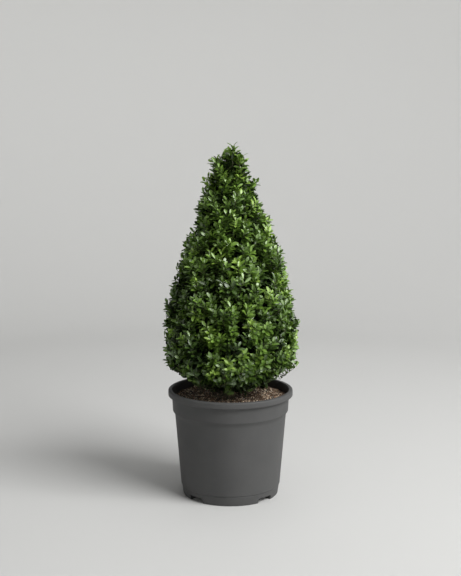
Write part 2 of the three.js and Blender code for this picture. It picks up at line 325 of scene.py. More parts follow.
class BarkTone(Enum):
    """A tone of bark chip, with its finish and its share of the chips."""

    BLACK = (Chip("chip_black", rgba(0.014, 0.009, 0.006), rgba(0.045, 0.028, 0.018)), 0.20)
    BROWN = (Chip("chip_brown", rgba(0.060, 0.034, 0.020), rgba(0.150, 0.090, 0.056)), 0.16)
    RUSSET = (Chip("chip_russet", rgba(0.29, 0.17, 0.10), rgba(0.56, 0.37, 0.24)), 0.24)
    TAN = (Chip("chip_tan", rgba(0.66, 0.51, 0.35), rgba(0.94, 0.80, 0.62)), 0.40)


@dataclass(frozen=True)
class Bark:
    """Thin tan-grey bark with lengthwise cracks and greenish patches."""

    name: str = "bark"
    crack: Colour = rgba(0.045, 0.034, 0.022)
    ridge: Colour = rgba(0.24, 0.19, 0.125)
    patch: Colour = rgba(0.20, 0.20, 0.15)
    crack_scale: float = 420.0
    crack_stretch: Triple = (1.0, 1.0, 0.22)
    crack_span: Pair = (0.36, 0.62)
    crack_depth: float = 0.6 * MM
    patch_scale: float = 60.0
    patch_span: Pair = (0.5, 0.75)
    patch_share: float = 0.5
    rough: float = 0.85

    def material(self) -> bpy.types.Material:
        """Make the bark.

        Returns:
            The finished material.
        """
        dye = Dye(self.name)
        cracks = dye.speckle(self.crack_scale, 5.0, 0.65, dye.stretched(self.crack_stretch))
        patches = dye.window(dye.speckle(self.patch_scale, 3.0), self.patch_span)
        colour = dye.blend(dye.window(cracks, self.crack_span), self.crack, self.ridge)
        colour = dye.blend(patches * self.patch_share, colour, self.patch)
        return dye.finish(Base_Color=colour, Roughness=self.rough, Normal=dye.bump(cracks, self.crack_depth))


@dataclass(frozen=True)
class TwigSkin:
    """Young green-brown twig skin."""

    name: str = "twig_skin"
    green: Colour = rgba(0.040, 0.042, 0.016)
    brown: Colour = rgba(0.080, 0.074, 0.032)
    drift_scale: float = 120.0
    drift_span: Pair = (0.4, 0.65)
    rough: float = 0.7

    def material(self) -> bpy.types.Material:
        """Make the twig's skin.

        Returns:
            The finished material.
        """
        dye = Dye(self.name)
        drift = dye.window(dye.speckle(self.drift_scale, 3.0), self.drift_span)
        return dye.finish(Base_Color=dye.blend(drift, self.green, self.brown), Roughness=self.rough)


class LeafAge(Enum):
    """How old a spray's leaves are, with its name, base colour, roughness and gloss; the darkest colour is painted
    shade for the leaves inside the crown.
    """

    # Oldest, innermost leaves, painted near-black as shade, darker than any real leaf.
    DEEP = ("leaf_deep_shade", rgba(0.008, 0.018, 0.002), 0.55, 0.2)
    OLD = ("leaf_old", rgba(0.043, 0.088, 0.011), 0.44, 0.8)
    GROWN = ("leaf_grown", rgba(0.096, 0.180, 0.021), 0.42, 1.0)
    BRIGHT = ("leaf_bright", rgba(0.151, 0.268, 0.031), 0.44, 1.0)
    YOUNG = ("leaf_young", rgba(0.232, 0.368, 0.050), 0.46, 1.0)

    def material(self) -> bpy.types.Material:
        """Make the leaf's waxy surface, in the plain colour of its age."""
        name, colour, rough, gloss = self.value
        return Dye(name).finish(Base_Color=colour, Roughness=rough, Specular_IOR_Level=gloss)


@dataclass(frozen=True)
class StudioPaint:
    """Pale matte paint of the floor and backdrop."""

    name: str = "studio_paint"
    colour: Colour = rgba(0.592, 0.592, 0.58)
    worn: Colour = rgba(0.66, 0.66, 0.65)
    worn_share: float = 0.06
    drift_scale: float = 1.2
    rough: float = 0.75

    def material(self) -> bpy.types.Material:
        """Make the paint.

        Returns:
            The finished material.
        """
        dye = Dye(self.name)
        drift = dye.speckle(self.drift_scale, 2.0)
        colour = dye.blend(drift * self.worn_share, self.colour, self.worn)
        return dye.finish(Base_Color=colour, Roughness=self.rough)


# ------------------------------------------------------------------------- bench


def pick(*objects: bpy.types.Object) -> None:
    """Select only these objects and make the first one active.

    Args:
        objects: What to select.
    """
    bpy.ops.object.select_all(action="DESELECT")
    for thing in objects:
        thing.select_set(True)
    bpy.context.view_layer.objects.active = objects[0]


@contextmanager
def editing(thing: bpy.types.Object) -> Iterator[None]:
    """Hold an object in edit mode, by edges, with nothing selected.

    Args:
        thing: The object to edit.
    """
    pick(thing)
    bpy.ops.object.mode_set(mode="EDIT")
    bpy.ops.mesh.select_mode(type="EDGE")
    bpy.ops.mesh.select_all(action="DESELECT")
    yield
    bpy.ops.object.mode_set(mode="OBJECT")


def cut(thing: bpy.types.Object, tool: bpy.types.Object) -> None:
    """Take one solid out of another and throw the tool away.

    Args:
        thing: The solid that is cut.
        tool: The solid that is taken out.
    """
    pick(thing)
    made = thing.modifiers.new("cut", "BOOLEAN")
    made.object = tool
    made.operation = "DIFFERENCE"
    made.solver = "EXACT"
    bpy.ops.object.modifier_apply(modifier=made.name)
    bpy.data.objects.remove(tool)


def soften(thing: bpy.types.Object, degrees: float) -> None:
    """Shade smooth wherever faces meet at less than an angle."""
    pick(thing)
    bpy.ops.object.shade_smooth_by_angle(angle=math.radians(degrees))


def settle(thing: bpy.types.Object) -> None:
    """Move an object's place into its mesh."""
    pick(thing)
    bpy.ops.object.transform_apply(location=True, rotation=True, scale=True)


def joined(name: str, things: Sequence[bpy.types.Object]) -> bpy.types.Object:
    """Join objects into the first one.

    Args:
        name: The new name.
        things: The objects to join.

    Returns:
        The joined object.
    """
    pick(*things)
    bpy.ops.object.join()
    things[0].name = name
    return things[0]


def raise_rings(outline: Sequence[Pair]) -> None:
    """Extrude the open edge of the mesh in edit mode ring by ring.

    Args:
        outline: Radius and height of each ring in metres, the first being the edge's own.
    """
    bpy.ops.mesh.select_all(action="SELECT")
    bpy.ops.mesh.region_to_loop()
    radius, height = outline[0]
    for next_radius, next_height in outline[1:]:
        bpy.ops.mesh.extrude_edges_move(TRANSFORM_OT_translate={"value": (0, 0, next_height - height)})
        ratio = next_radius / radius
        bpy.ops.transform.resize(value=(ratio, ratio, 1), center_override=(0, 0, next_height))
        radius, height = next_radius, next_height


def turned(name: str, outline: Sequence[Pair], sides: int) -> bpy.types.Object:
    """Raise a closed round shell from a disc.

    Args:
        name: The object's name.
        outline: Radius and height of each ring in metres, the first and last rings being capped.
        sides: Vertices in each ring.

    Returns:
        The shell, with its faces pointing out.
    """
    radius, height = outline[0]
    bpy.ops.mesh.primitive_circle_add(vertices=sides, radius=radius, fill_type="TRIFAN", location=(0, 0, height))
    shell = bpy.context.object
    shell.name = name
    settle(shell)
    with editing(shell):
        raise_rings(outline)
        bpy.ops.mesh.edge_face_add()
        bpy.ops.mesh.select_all(action="SELECT")
        bpy.ops.mesh.normals_make_consistent(inside=False)
    return shell


def arc(centre: Pair, size: float, start: float, end: float, steps: int) -> list[Pair]:
    """Lay points along an arc in the outline plane.

    Args:
        centre: Radius and height of the arc's centre.
        size: The arc's own radius.
        start: Where it starts, in degrees from the outward axis.
        end: Where it ends.
        steps: Number of stretches.

    Returns:
        The points, both ends included.
    """
    angles = np.radians(np.linspace(start, end, steps + 1))
    return [(centre[0] + size * math.cos(angle), centre[1] + size * math.sin(angle)) for angle in angles]


class Heap:
    """Many small shapes gathered into one mesh."""

    def __init__(self, name: str, materials: Sequence[bpy.types.Material]) -> None:
        """Start an empty heap.

        Args:
            name: The piece's name.
            materials: Its materials in order.
        """
        self.name = name
        self.materials = list(materials)
        self.points: list[np.ndarray] = []
        self.faces: list[np.ndarray] = []
        self.looks: list[np.ndarray] = []
        self.count = 0

    def add(self, points: np.ndarray, faces: np.ndarray, looks: np.ndarray | int = 0) -> None:
        """Add shapes of one pattern.

        Args:
            points: Vertices of each shape, (shapes, vertices, 3).
            faces: Triangles of the pattern, (triangles, 3).
            looks: Material place of each shape, or one for all.
        """
        shapes, corners = points.shape[:2]
        starts = self.count + corners * np.arange(shapes)
        self.points.append(points.reshape(-1, 3))
        self.faces.append((starts[:, None, None] + faces[None]).reshape(-1, 3))
        self.looks.append(np.repeat(np.broadcast_to(looks, shapes), len(faces)))
        self.count += shapes * corners

    def piece(self, smooth: bool = True) -> bpy.types.Object:
        """Build the mesh.

        Args:
            smooth: Whether it is shaded smooth.

        Returns:
            The piece's object.
        """
        points = np.concatenate(self.points).astype(np.float32)
        faces = np.concatenate(self.faces).astype(np.int32)
        mesh = bpy.data.meshes.new(self.name)
        mesh.vertices.add(len(points))
        mesh.vertices.foreach_set("co", points.ravel())
        mesh.loops.add(faces.size)
        mesh.loops.foreach_set("vertex_index", faces.ravel())
        mesh.polygons.add(len(faces))
        mesh.polygons.foreach_set("loop_start", np.arange(0, faces.size, 3, dtype=np.int32))
        mesh.polygons.foreach_set("material_index", np.concatenate(self.looks).astype(np.int32))
        mesh.polygons.foreach_set("use_smooth", np.full(len(faces), smooth))
        mesh.update(calc_edges=True)
        mesh.validate()
        for material in self.materials:
            mesh.materials.append(material)
        thing = bpy.data.objects.new(self.name, mesh)
        bpy.context.collection.objects.link(thing)
        return thing


def mount(thing: bpy.types.Object, slot: str, *nodes: str) -> None:
    """Fix a finished piece to the body and report it.

    Args:
        thing: The piece.
        slot: The record's slot, not used.
        nodes: CAD nodes that it stands for.
    """
    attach(thing, "root")
    if nodes:
        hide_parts(*nodes)
    triangles = sum(len(face.vertices) - 2 for face in thing.data.polygons)
    LOG.info("%s: %d triangles, stands for %s", thing.name, triangles, ", ".join(nodes) or "no node")


def dress(thing: bpy.types.Object, material: bpy.types.Material) -> None:
    """Give a piece its only material."""
    thing.data.materials.clear()
    thing.data.materials.append(material)


def unit(vectors: np.ndarray) -> np.ndarray:
    """Scale vectors to length 1."""
    return vectors / np.maximum(np.linalg.norm(vectors, axis=-1, keepdims=True), TINY)


def level_ways(angle: np.ndarray) -> np.ndarray:
    """Level unit vectors at bearings."""
    return np.stack([np.cos(angle), np.sin(angle), np.zeros(len(angle))], axis=1)


def around(heading: np.ndarray, angle: np.ndarray) -> np.ndarray:
    """Turn about headings.

    Args:
        heading: Unit vectors, (count, 3).
        angle: How far to turn about each, in radians.

    Returns:
        Unit vectors square to the headings.
    """
    aside = unit(np.cross(heading, SKEW))
    over = np.cross(heading, aside)
    return aside * np.cos(angle)[:, None] + over * np.sin(angle)[:, None]


def node_points(name: str) -> np.ndarray:
    """Read the vertices of a CAD node.

    Args:
        name: The node's name.

    Returns:
        Its vertices in metres, (count, 3).
    """
    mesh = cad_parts[name].data
    flat = np.empty(3 * len(mesh.vertices))
    mesh.vertices.foreach_get("co", flat)
    return flat.reshape(-1, 3)


def nodes_named(start: str) -> list[str]:
    """Names of the CAD nodes that start with some words."""
    return sorted(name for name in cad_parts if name.startswith(start))


# --------------------------------------------------------------------------- pot


@dataclass
class NurseryPot:
    """The round pot: one moulded shell with a rolled lip, a collar and four drainage pockets."""

    sides: int = 144
    wall: float = 2.0 * MM
    floor: float = 2.5 * MM
    foot_radius: float = 92.3 * MM
    foot_round: float = 1.5 * MM
    foot_top: Pair = (94.8 * MM, 17.5 * MM)
    seam: tuple[Pair, ...] = ((-0.35 * MM, 0.5 * MM), (0.1 * MM, 1.1 * MM))
    wall_foot: Pair = (96.0 * MM, 20.0 * MM)
    wall_top: Pair = (106.8 * MM, 152.0 * MM)
    shoulder_step: Pair = (1.6 * MM, 2.0 * MM)
    collar_foot: Pair = (111.4 * MM, 164.0 * MM)
    collar_top: Pair = (112.9 * MM, 191.0 * MM)
    lip_height: float = 8.0 * MM
    lip_round: float = 3.0 * MM
    lip_under: float = 1.2 * MM
    lip_under_rise: float = 0.6 * MM
    lip_inner: tuple[Pair, ...] = ((-1.4 * MM, -6.0 * MM), (-0.9 * MM, -3.0 * MM))
    lip_edge: Pair = (0.7 * MM, -1.1 * MM)
    lip_edge_round: float = 1.1 * MM
    gate: float = 5.0 * MM
    gate_mark: tuple[Pair, ...] = ((0.0, 0.6 * MM), (0.5 * MM, 0.2 * MM), (1.2 * MM, 0.0))
    groove: tuple[Pair, ...] = ((0.42, 0.0), (0.44, 0.5 * MM), (0.47, 0.5 * MM), (0.49, 0.0))
    pockets: int = 4
    pocket_width: float = 34.0 * MM
    pocket_height: float = 9.5 * MM
    pocket_depth: float = 20.0 * MM
    pocket_corner: float = 4.0 * MM
    pocket_wall: float = 2.0 * MM
    pocket_below: float = 6.0 * MM
    corner_steps: int = 5
    drain_radius: float = 5.5 * MM
    drain_in: float = 2.0 * MM
    drain_depth: float = 12.0 * MM
    drain_sides: int = 24
    crease: float = 32.0
    level_within: float = 0.001 * MM
    plastic: PotPlastic = field(default_factory=PotPlastic)

    def __post_init__(self) -> None:
        """Read the lip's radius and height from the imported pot."""
        _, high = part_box("pot")
        self.lip_radius = float(high[0])
        self.height = float(high[2])

    def outside(self) -> list[Pair]:
        """Lay out the outer outline.

        Returns:
            Points from the gate mark under the floor up to the top of the lip.
        """
        foot, top, collar = self.foot_radius, self.foot_top, self.collar_top
        lip_foot = self.height - self.lip_round - self.lip_height
        ring = [(self.gate + out, height) for out, height in self.gate_mark]
        ring += [(share * foot, height) for share, height in self.groove]
        ring += arc((foot - self.foot_round, self.foot_round), self.foot_round, -90, 0, 3)
        ring += [top, *((top[0] + out, top[1] + rise) for out, rise in self.seam), self.wall_foot]
        ring += self._along(self.wall_foot, self.wall_top, (0.02, 0.5, 0.985, 1.0))
        ring += self._shoulder()
        ring += self._along(self.collar_foot, collar, (0.04, 0.5, 0.97, 1.0))
        ring += [(collar[0] + 0.7 * MM, collar[1] + 0.5 * MM)]
        under = (self.lip_radius - self.lip_under, lip_foot + self.lip_under_rise)
        ring += arc(under, self.lip_under, -50, 0, 3)
        ring += arc((self.lip_radius - self.lip_round, self.height - self.lip_round), self.lip_round, 0, 90, 6)
        return ring

    @staticmethod
    def _along(low: Pair, high: Pair, shares: Sequence[float]) -> list[Pair]:
        """Points part of the way from one outline point to another."""
        return [(low[0] + (high[0] - low[0]) * share, low[1] + (high[1] - low[1]) * share) for share in shares]

    def _shoulder(self) -> list[Pair]:
        """Lay out the hollow curve under the collar.

        Returns:
            Points from above the wall's top to the collar's foot, ending in a small step.
        """
        low, collar = self.wall_top, self.collar_foot
        high = (collar[0] - self.shoulder_step[0], collar[1] - self.shoulder_step[1])
        shares = np.linspace(0.15, 1.0, 7)
        curve = [(low[0] + (high[0] - low[0]) * s**2, low[1] + (high[1] - low[1]) * s) for s in shares]
        step = [(high[0] + 0.15 * MM, high[1] + 0.7 * MM), (collar[0] - 0.5 * MM, high[1] + 1.1 * MM)]
        return [*curve, *step, collar]

    def inside(self) -> list[Pair]:
        """Lay out the inner outline.

        Returns:
            Points from the middle of the floor up through the rounded inner edge of the lip.
        """
        edge, top = self.collar_top[0], self.height
        ring = [(self.gate, self.floor), (self.foot_radius - self.wall - self.foot_round, self.floor)]
        for radius, height in (self.wall_foot, self.wall_top, self.collar_foot, self.collar_top):
            ring.append((radius - self.wall, height))
        ring += [(edge + out, top + rise) for out, rise in self.lip_inner]
        ring += arc((edge + self.lip_edge[0], top + self.lip_edge[1]), self.lip_edge_round, 180, 98, 4)
        return [*ring, (edge + 0.6 * MM, top + self.lip_height)]

    def _pocket_blocks(self, name: str, extra: float) -> bpy.types.Object:
        """Make the upright blocks of the drainage pockets, with their top edges rounded.

        Args:
            name: The name of the joined blocks.
            extra: How much larger than the pockets they are on each side.

        Returns:
            The blocks as one mesh.
        """
        inner, outer = self.foot_radius - self.pocket_depth - extra, self.lip_radius
        top, below = self.pocket_height + extra, self.pocket_below
        blocks = []
        for index in range(self.pockets):
            bpy.ops.mesh.primitive_cube_add(size=1, location=((inner + outer) / 2, 0, (top - below) / 2))
            block = bpy.context.object
            block.scale = (outer - inner, self.pocket_width + 2 * extra, top + below)
            settle(block)
            self._round_top(block, self.pocket_corner + extra)
            block.rotation_euler.z = TURN * (index + 0.5) / self.pockets
            settle(block)
            blocks.append(block)
        return joined(name, blocks)

    def _round_top(self, block: bpy.types.Object, corner: float) -> None:
        """Round the two top edges of a block that run outwards.

        Args:
            block: The block, lying along +X.
            corner: The radius of the rounding.
        """
        with editing(block):
            bpy.ops.object.mode_set(mode="OBJECT")
            for edge in block.data.edges:
                ends = [block.data.vertices[i].co for i in edge.vertices]
                level = abs(ends[0].y - ends[1].y) < self.level_within
                edge.select = level and min(end.z for end in ends) > 0
            bpy.ops.object.mode_set(mode="EDIT")
            bpy.ops.mesh.bevel(offset=corner, segments=self.corner_steps, affect="EDGES")

    def _drains(self) -> bpy.types.Object:
        """Make round cutters for the drain holes over the pockets.

        Returns:
            The cutters as one mesh.
        """
        out = self.foot_radius - self.pocket_depth / 2 - self.drain_in
        drains = []
        for index in range(self.pockets):
            angle = TURN * (index + 0.5) / self.pockets
            bpy.ops.mesh.primitive_cylinder_add(
                vertices=self.drain_sides,
                radius=self.drain_radius,
                depth=self.drain_depth,
                location=(out * math.cos(angle), out * math.sin(angle), self.pocket_height),
            )
            settle(bpy.context.object)
            drains.append(bpy.context.object)
        return joined("drains", drains)

    def build(self) -> bpy.types.Object:
        """Model the full body, take out the hollow but for the pocket walls, then cut the pockets.

        Returns:
            The pot's shell.
        """
        pot = turned("pot_shell", self.outside(), self.sides)
        hollow = turned("hollow", self.inside(), self.sides)
        cut(hollow, self._pocket_blocks("pocket_walls", self.pocket_wall))
        cut(pot, hollow)
        cut(pot, self._pocket_blocks("pockets", 0.0))
        cut(pot, self._drains())
        soften(pot, self.crease)
        return pot

    def place(self) -> None:
        """Build the pot and dress it."""
        pot = self.build()
        dress(pot, self.plastic.material())
        mount(pot, "pot_plastic", "pot")


# ------------------------------------------------------------------- potting mix


@dataclass
class PottingMix:
    """The soil in the pot: a rough bed strewn with bark chips, fibres and white grains."""

    seed: int = 11
    sides: int = 128
    rings: int = 60
    floor: Pair = (60.0 * MM, 12.5 * MM)
    wall: tuple[Pair, ...] = (
        (91.0 * MM, 12.5 * MM),
        (92.5 * MM, 25.0 * MM),
        (102.3 * MM, 150.0 * MM),
        (106.9 * MM, 165.0 * MM),
    )
    edge_reach: float = 1.4 * MM
    edge_drop: float = 4.0 * MM
    top_within: float = 1.0 * MM
    crease: float = 60.0
    roughness: float = 1.9 * MM
    lumps: float = 55.0
    crumbs: float = 260.0
    stem_clear: float = 13.0 * MM
    calmest: float = 0.15
    wall_clear: float = 3.0 * MM
    chips: int = 2600
    chip_length: Pair = (1.6, 3.4)
    chip_width: Pair = (0.3, 0.7)
    chip_thickness: float = 0.28
    chip_tilt: float = 0.45
    chip_lift: float = 0.35 * MM
    uneven: float = 0.25
    fibres: int = 520
    fibre_length: Pair = (5, 15)
    fibre_curl: float = 1.3
    fibre_radius: float = 0.16 * MM
    fibre_points: int = 5
    fibre_lift: float = 0.8 * MM
    fibre_clear: float = 2.0 * MM
    grains: int = 150
    grain_size: Pair = (0.9, 2.4)
    grain_shape: Triple = (1.0, 0.85, 0.7)
    grain_tilt: float = 0.8
    grain_lift: float = 0.5 * MM

    def __post_init__(self) -> None:
        """Read the bed's size from the packed soil and stem."""
        _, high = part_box("potting_soil")
        self.radius = float(high[0])
        stem_low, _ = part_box("stem")
        self.level = float(stem_low[2]) - 1.0 * MM
        self.random = np.random.default_rng(self.seed)

    def height_at(self, x: float, y: float) -> float:
        """Find the height of the bed, which is flat where the stem stands.

        Args:
            x: Place across.
            y: Place along.

        Returns:
            The height in metres.
        """
        out = math.hypot(x, y)
        calm = min(max((out - self.stem_clear) / self.stem_clear, self.calmest), 1.0)
        spot = Vector((x, y, 0.0))
        coarse, fine = spot * self.lumps, spot * self.crumbs
        relief = noise.fractal(coarse, 0.9, 2.1, 3) + 0.35 * noise.fractal(fine, 0.9, 2.0, 2)
        return self.level + calm * self.roughness * relief

    def bed(self) -> bpy.types.Object:
        """Model the closed bed and roughen its top.

        Returns:
            The bed.
        """
        edge = self.radius + self.edge_reach
        top = [(edge * share, self.level) for share in np.linspace(1.0, 0.02, self.rings)]
        outline = [self.floor, *self.wall, (edge, self.level - self.edge_drop), *top]
        bed = turned("potting_mix_bed", outline, self.sides)
        for vertex in bed.data.vertices:
            if vertex.co.z > self.level - self.top_within:
                vertex.co.z = self.height_at(vertex.co.x, vertex.co.y)
        soften(bed, self.crease)
        return bed

    def _spots(self, count: int) -> np.ndarray:
        """Choose random spots spread evenly over the bed.

        Args:
            count: How many.

        Returns:
            Places on the bed's top, (count, 3).
        """
        reach = self.radius - self.wall_clear - self.stem_clear
        out = self.stem_clear + reach * self.random.random(count) ** 0.5
        angle = TURN * self.random.random(count)
        flat = np.stack([out * np.cos(angle), out * np.sin(angle)], axis=1)
        level = [self.height_at(x, y) for x, y in flat]
        return np.column_stack([flat, level])

    def _turned_over(self, pattern: np.ndarray, sizes: np.ndarray, tilt: float) -> np.ndarray:
        """Copy a pattern, each copy dented, scaled, tilted and turned at random.

        Args:
            pattern: Vertices, one unit long.
            sizes: Size of each copy along each axis, (count, 3).
            tilt: Typical lean in radians.

        Returns:
            Vertices of the copies, (count, vertices, 3).
        """
        count = len(sizes)
        dents = 1 + self.uneven * self.random.standard_normal((count, len(pattern), 3))
        shapes = pattern[None] * sizes[:, None, :] * dents
        spin, lean = TURN * self.random.random(count), tilt * self.random.standard_normal(count)
        cos, sin = np.cos(lean)[:, None], np.sin(lean)[:, None]
        x = shapes[..., 0] * cos - shapes[..., 2] * sin
        z = shapes[..., 0] * sin + shapes[..., 2] * cos
        cos, sin = np.cos(spin)[:, None], np.sin(spin)[:, None]
        return np.stack([x * cos - shapes[..., 1] * sin, x * sin + shapes[..., 1] * cos, z], axis=2)

    @staticmethod
    def _chip_pattern() -> tuple[np.ndarray, np.ndarray]:
        """Make a splintered slab with pointed ends.

        Returns:
            Its vertices, one unit long, and its triangles.
        """
        ring = np.array([(-0.5, 0.1), (-0.25, 0.5), (0.3, 0.42), (0.5, -0.05), (0.2, -0.5), (-0.3, -0.4)])
        count = len(ring)
        low = np.column_stack([ring, np.full(count, -0.5)])
        high = np.column_stack([ring * 0.82, np.full(count, 0.5)])
        faces = [(0, i, i + 1) for i in range(1, count - 1)]
        faces += [(count, count + 1 + i, count + i) for i in range(1, count - 1)]
        for i in range(count):
            on = (i + 1) % count
            faces += [(i, count + i, on), (on, count + i, count + on)]
        return np.vstack([low, high]), np.array(faces)

    def chip_heap(self) -> bpy.types.Object:
        """Strew bark chips in four tones, lying flat and on edge.

        Returns:
            The chips as one piece.
        """
        finishes, shares = zip(*(tone.value for tone in BarkTone))
        heap = Heap("bark_chips", [finish.material() for finish in finishes])
        pattern, faces = self._chip_pattern()
        shortest, longer = self.chip_length
        long = MM * (shortest + longer * self.random.random(self.chips) ** 2)
        wide = long * self.random.uniform(*self.chip_width, self.chips)
        sizes = np.column_stack([long, wide, self.chip_thickness * long])
        shapes = self._turned_over(pattern, sizes, self.chip_tilt)
        spots = self._spots(self.chips) + [0, 0, self.chip_lift]
        tone = self.random.choice(len(shares), self.chips, p=shares)
        heap.add(shapes + spots[:, None, :], faces, tone)
        return heap.piece(smooth=False)

    def fibre_heap(self) -> bpy.types.Object:
        """Strew thin coir fibres that curl over the bed.

        Returns:
            The fibres as one piece.
        """
        straw = Chip("coir_fibre", rgba(0.20, 0.115, 0.06), rgba(0.40, 0.26, 0.15), 900.0)
        heap = Heap("coir_fibres", [straw.material()])
        shares = np.linspace(-0.5, 0.5, self.fibre_points)
        stretches = self.fibre_points - 1
        for spot in self._spots(self.fibres):
            heading = TURN * self.random.random()
            curl = self.random.uniform(-self.fibre_curl, self.fibre_curl)
            long = MM * self.random.uniform(*self.fibre_length)
            angles = heading + curl * shares
            steps = np.column_stack([np.cos(angles), np.sin(angles), 0.10 * np.sin(3 * angles)])
            half = steps.sum(axis=0) * long / (2 * stretches)
            path = spot + [0, 0, self.fibre_lift] + np.cumsum(steps * long / stretches, axis=0) - half
            out = np.hypot(path[:, 0], path[:, 1])
            if out.max() < self.radius - self.fibre_clear and out.min() > self.stem_clear:
                add_tube(heap, path, np.full(self.fibre_points, self.fibre_radius), 3)
        return heap.piece()

    def grain_heap(self) -> bpy.types.Object:
        """Strew white grains of perlite.

        Returns:
            The grains as one piece.
        """
        white = Chip("perlite", rgba(0.55, 0.53, 0.48), rgba(0.82, 0.80, 0.75), 1500.0)
        bpy.ops.mesh.primitive_ico_sphere_add(subdivisions=1, radius=0.5)
        ball = bpy.context.object
        pattern = np.array([vertex.co[:] for vertex in ball.data.vertices])
        faces = np.array([face.vertices[:] for face in ball.data.polygons])
        bpy.data.objects.remove(ball)
        heap = Heap("perlite_grains", [white.material()])
        across = MM * self.random.uniform(*self.grain_size, self.grains)
        shapes = self._turned_over(pattern, across[:, None] * self.grain_shape, self.grain_tilt)
        spots = self._spots(self.grains) + [0, 0, self.grain_lift]
        heap.add(shapes + spots[:, None, :], faces)
        return heap.piece(smooth=False)

    def place(self) -> None:
        """Build the bed and what is strewn over it."""
        bed = self.bed()
        dress(bed, Compost().material())
        mount(bed, "potting_mix", "potting_soil")
        for heap in (self.chip_heap(), self.fibre_heap(), self.grain_heap()):
            mount(heap, "potting_mix")


# ------------------------------------------------------------------------- limbs


def add_tube(heap: Heap, path: np.ndarray, radii: np.ndarray, sides: int, relief: float = 0.0) -> None:
    """Add a round limb along a path, closed at both ends.

    Args:
        heap: Where the limb goes.
        path: Centre points, (rings, 3).
        radii: Radius at each point.
        sides: Vertices in each ring.
        relief: How far the bark's ridges stand out, in metres.
    """
    rings = len(path)
    heading = unit(np.gradient(path, axis=0))
    aside = unit(np.cross(heading, [0.31, 0.87, 0.39]))
    over = np.cross(heading, aside)
    angles = TURN * np.arange(sides) / sides
    reach = np.repeat(radii[:, None], sides, axis=1)
    if relief:
        reach = reach + relief * bark_relief(path, angles)
    ring = aside[:, None] * np.cos(angles)[None, :, None] + over[:, None] * np.sin(angles)[None, :, None]
    points = np.concatenate([(path[:, None] + ring * reach[..., None]).reshape(-1, 3), path[:1], path[-1:]])
    step, side = np.meshgrid(np.arange(rings - 1), np.arange(sides), indexing="ij")
    low, low_next = step * sides + side, step * sides + (side + 1) % sides
    halves = ([low, low_next, low_next + sides], [low, low_next + sides, low + sides])
    walls = [np.stack(half, axis=-1).reshape(-1, 3) for half in halves]
    here = np.arange(sides)
    onward = (here + 1) % sides
    start = np.stack([np.full(sides, rings * sides), onward, here], axis=-1)
    last = (rings - 1) * sides
    end = np.stack([np.full(sides, rings * sides + 1), last + here, last + onward], axis=-1)
    heap.add(points[None], np.concatenate([*walls, start, end]))


def bark_relief(path: np.ndarray, angles: np.ndarray) -> np.ndarray:
    """Measure out bark ridges that run along a limb.

    Args:
        path: Centre points of the limb, (rings, 3).
        angles: Bearings of each ring's vertices.

    Returns:
        Heights between about -1 and 1, (rings, vertices).
    """
    fineness, stretch = 2.2, 45.0
    travel = np.concatenate([[0], np.cumsum(np.linalg.norm(np.diff(path, axis=0), axis=1))])
    relief = np.empty((len(path), len(angles)))
    for i, along in enumerate(travel):
        for j, angle in enumerate(angles):
            spot = Vector((fineness * math.cos(angle), fineness * math.sin(angle), along * stretch))
            relief[i, j] = noise.fractal(spot, 0.8, 2.2, 4)
    return relief


@dataclass
class Limb:
    """The centre line and thickness of a packed stem or bough, from its foot to its tip."""

    node: str
    bend: int = 2
    end_points: int = 6
    axis_clear: float = 0.4 * MM
    smoothing: int = 9

    def __post_init__(self) -> None:
        """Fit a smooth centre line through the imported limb's surface."""
        cloud = np.unique(np.round(node_points(self.node), 6), axis=0)
        if self.node == "stem":
            self.axis = UP
        else:
            inner = cloud[np.argsort(np.hypot(cloud[:, 0], cloud[:, 1]))]
            self.axis = unit(inner[-self.end_points :].mean(axis=0) - inner[: self.end_points].mean(axis=0))
        along = cloud @ self.axis
        self.low, self.high = float(along.min()), float(along.max())
        self.fit = np.polyfit(along, cloud, self.bend)
        off = cloud - self.centre(along)
        off -= (off @ self.axis)[:, None] * self.axis
        reach = np.linalg.norm(off, axis=1)
        rim = reach > self.axis_clear
        order = np.argsort(along[rim])
        window = np.ones(self.smoothing) / self.smoothing
        self.marks = np.convolve(along[rim][order], window, "valid")
        self.reaches = np.convolve(reach[rim][order], window, "valid")

    def centre(self, along: np.ndarray) -> np.ndarray:
        """Centre points at places along the axis."""
        powers = np.arange(self.bend, -1, -1)
        return (along[:, None] ** powers) @ self.fit

    def radius(self, along: np.ndarray) -> np.ndarray:
        """Radii at places along the axis."""
        return np.interp(along, self.marks, self.reaches)

    def path(self, rings: int, before: float = 0.0) -> tuple[np.ndarray, np.ndarray]:
        """Centre points and radii, carried on before the foot by some metres."""
        along = np.linspace(self.low - before, self.high, rings)
        return self.centre(along), self.radius(along)


@dataclass
class Woodwork:
    """The stem and boughs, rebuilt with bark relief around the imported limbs."""

    stem_bend: int = 6
    stem_rings: int = 190
    stem_sides: int = 24
    stem_relief: float = 0.55 * MM
    bough_rings: int = 26
    bough_sides: int = 12
    bough_relief: float = 0.28 * MM
    overlap: float = 7.0 * MM

    def __post_init__(self) -> None:
        """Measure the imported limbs."""
        self.stem = Limb("stem", bend=self.stem_bend)
        self.boughs = {name: Limb(name) for name in nodes_named("bough_")}
        self.bark = Bark().material()

    def _stem_piece(self) -> bpy.types.Object:
        """Build the stem from its flat cut at the soil to its tip.

        Returns:
            The stem.
        """
        heap = Heap("stem_bark", [self.bark])
        path, radii = self.stem.path(self.stem_rings)
        add_tube(heap, path, radii, self.stem_sides, self.stem_relief)
        stem = heap.piece()
        for vertex in stem.data.vertices:
            vertex.co.z = max(vertex.co.z, self.stem.low)
        return stem

    def place(self) -> None:
        """Build the stem and every bough."""
        mount(self._stem_piece(), "bark", "stem")
        for name, limb in self.boughs.items():
            heap = Heap(name.replace("bough", "bough_bark"), [self.bark])
            path, radii = limb.path(self.bough_rings, before=self.overlap)
            add_tube(heap, path, radii, self.bough_sides, self.bough_relief)
            mount(heap.piece(), "bark", name)


# ------------------------------------------------------------------------- crown


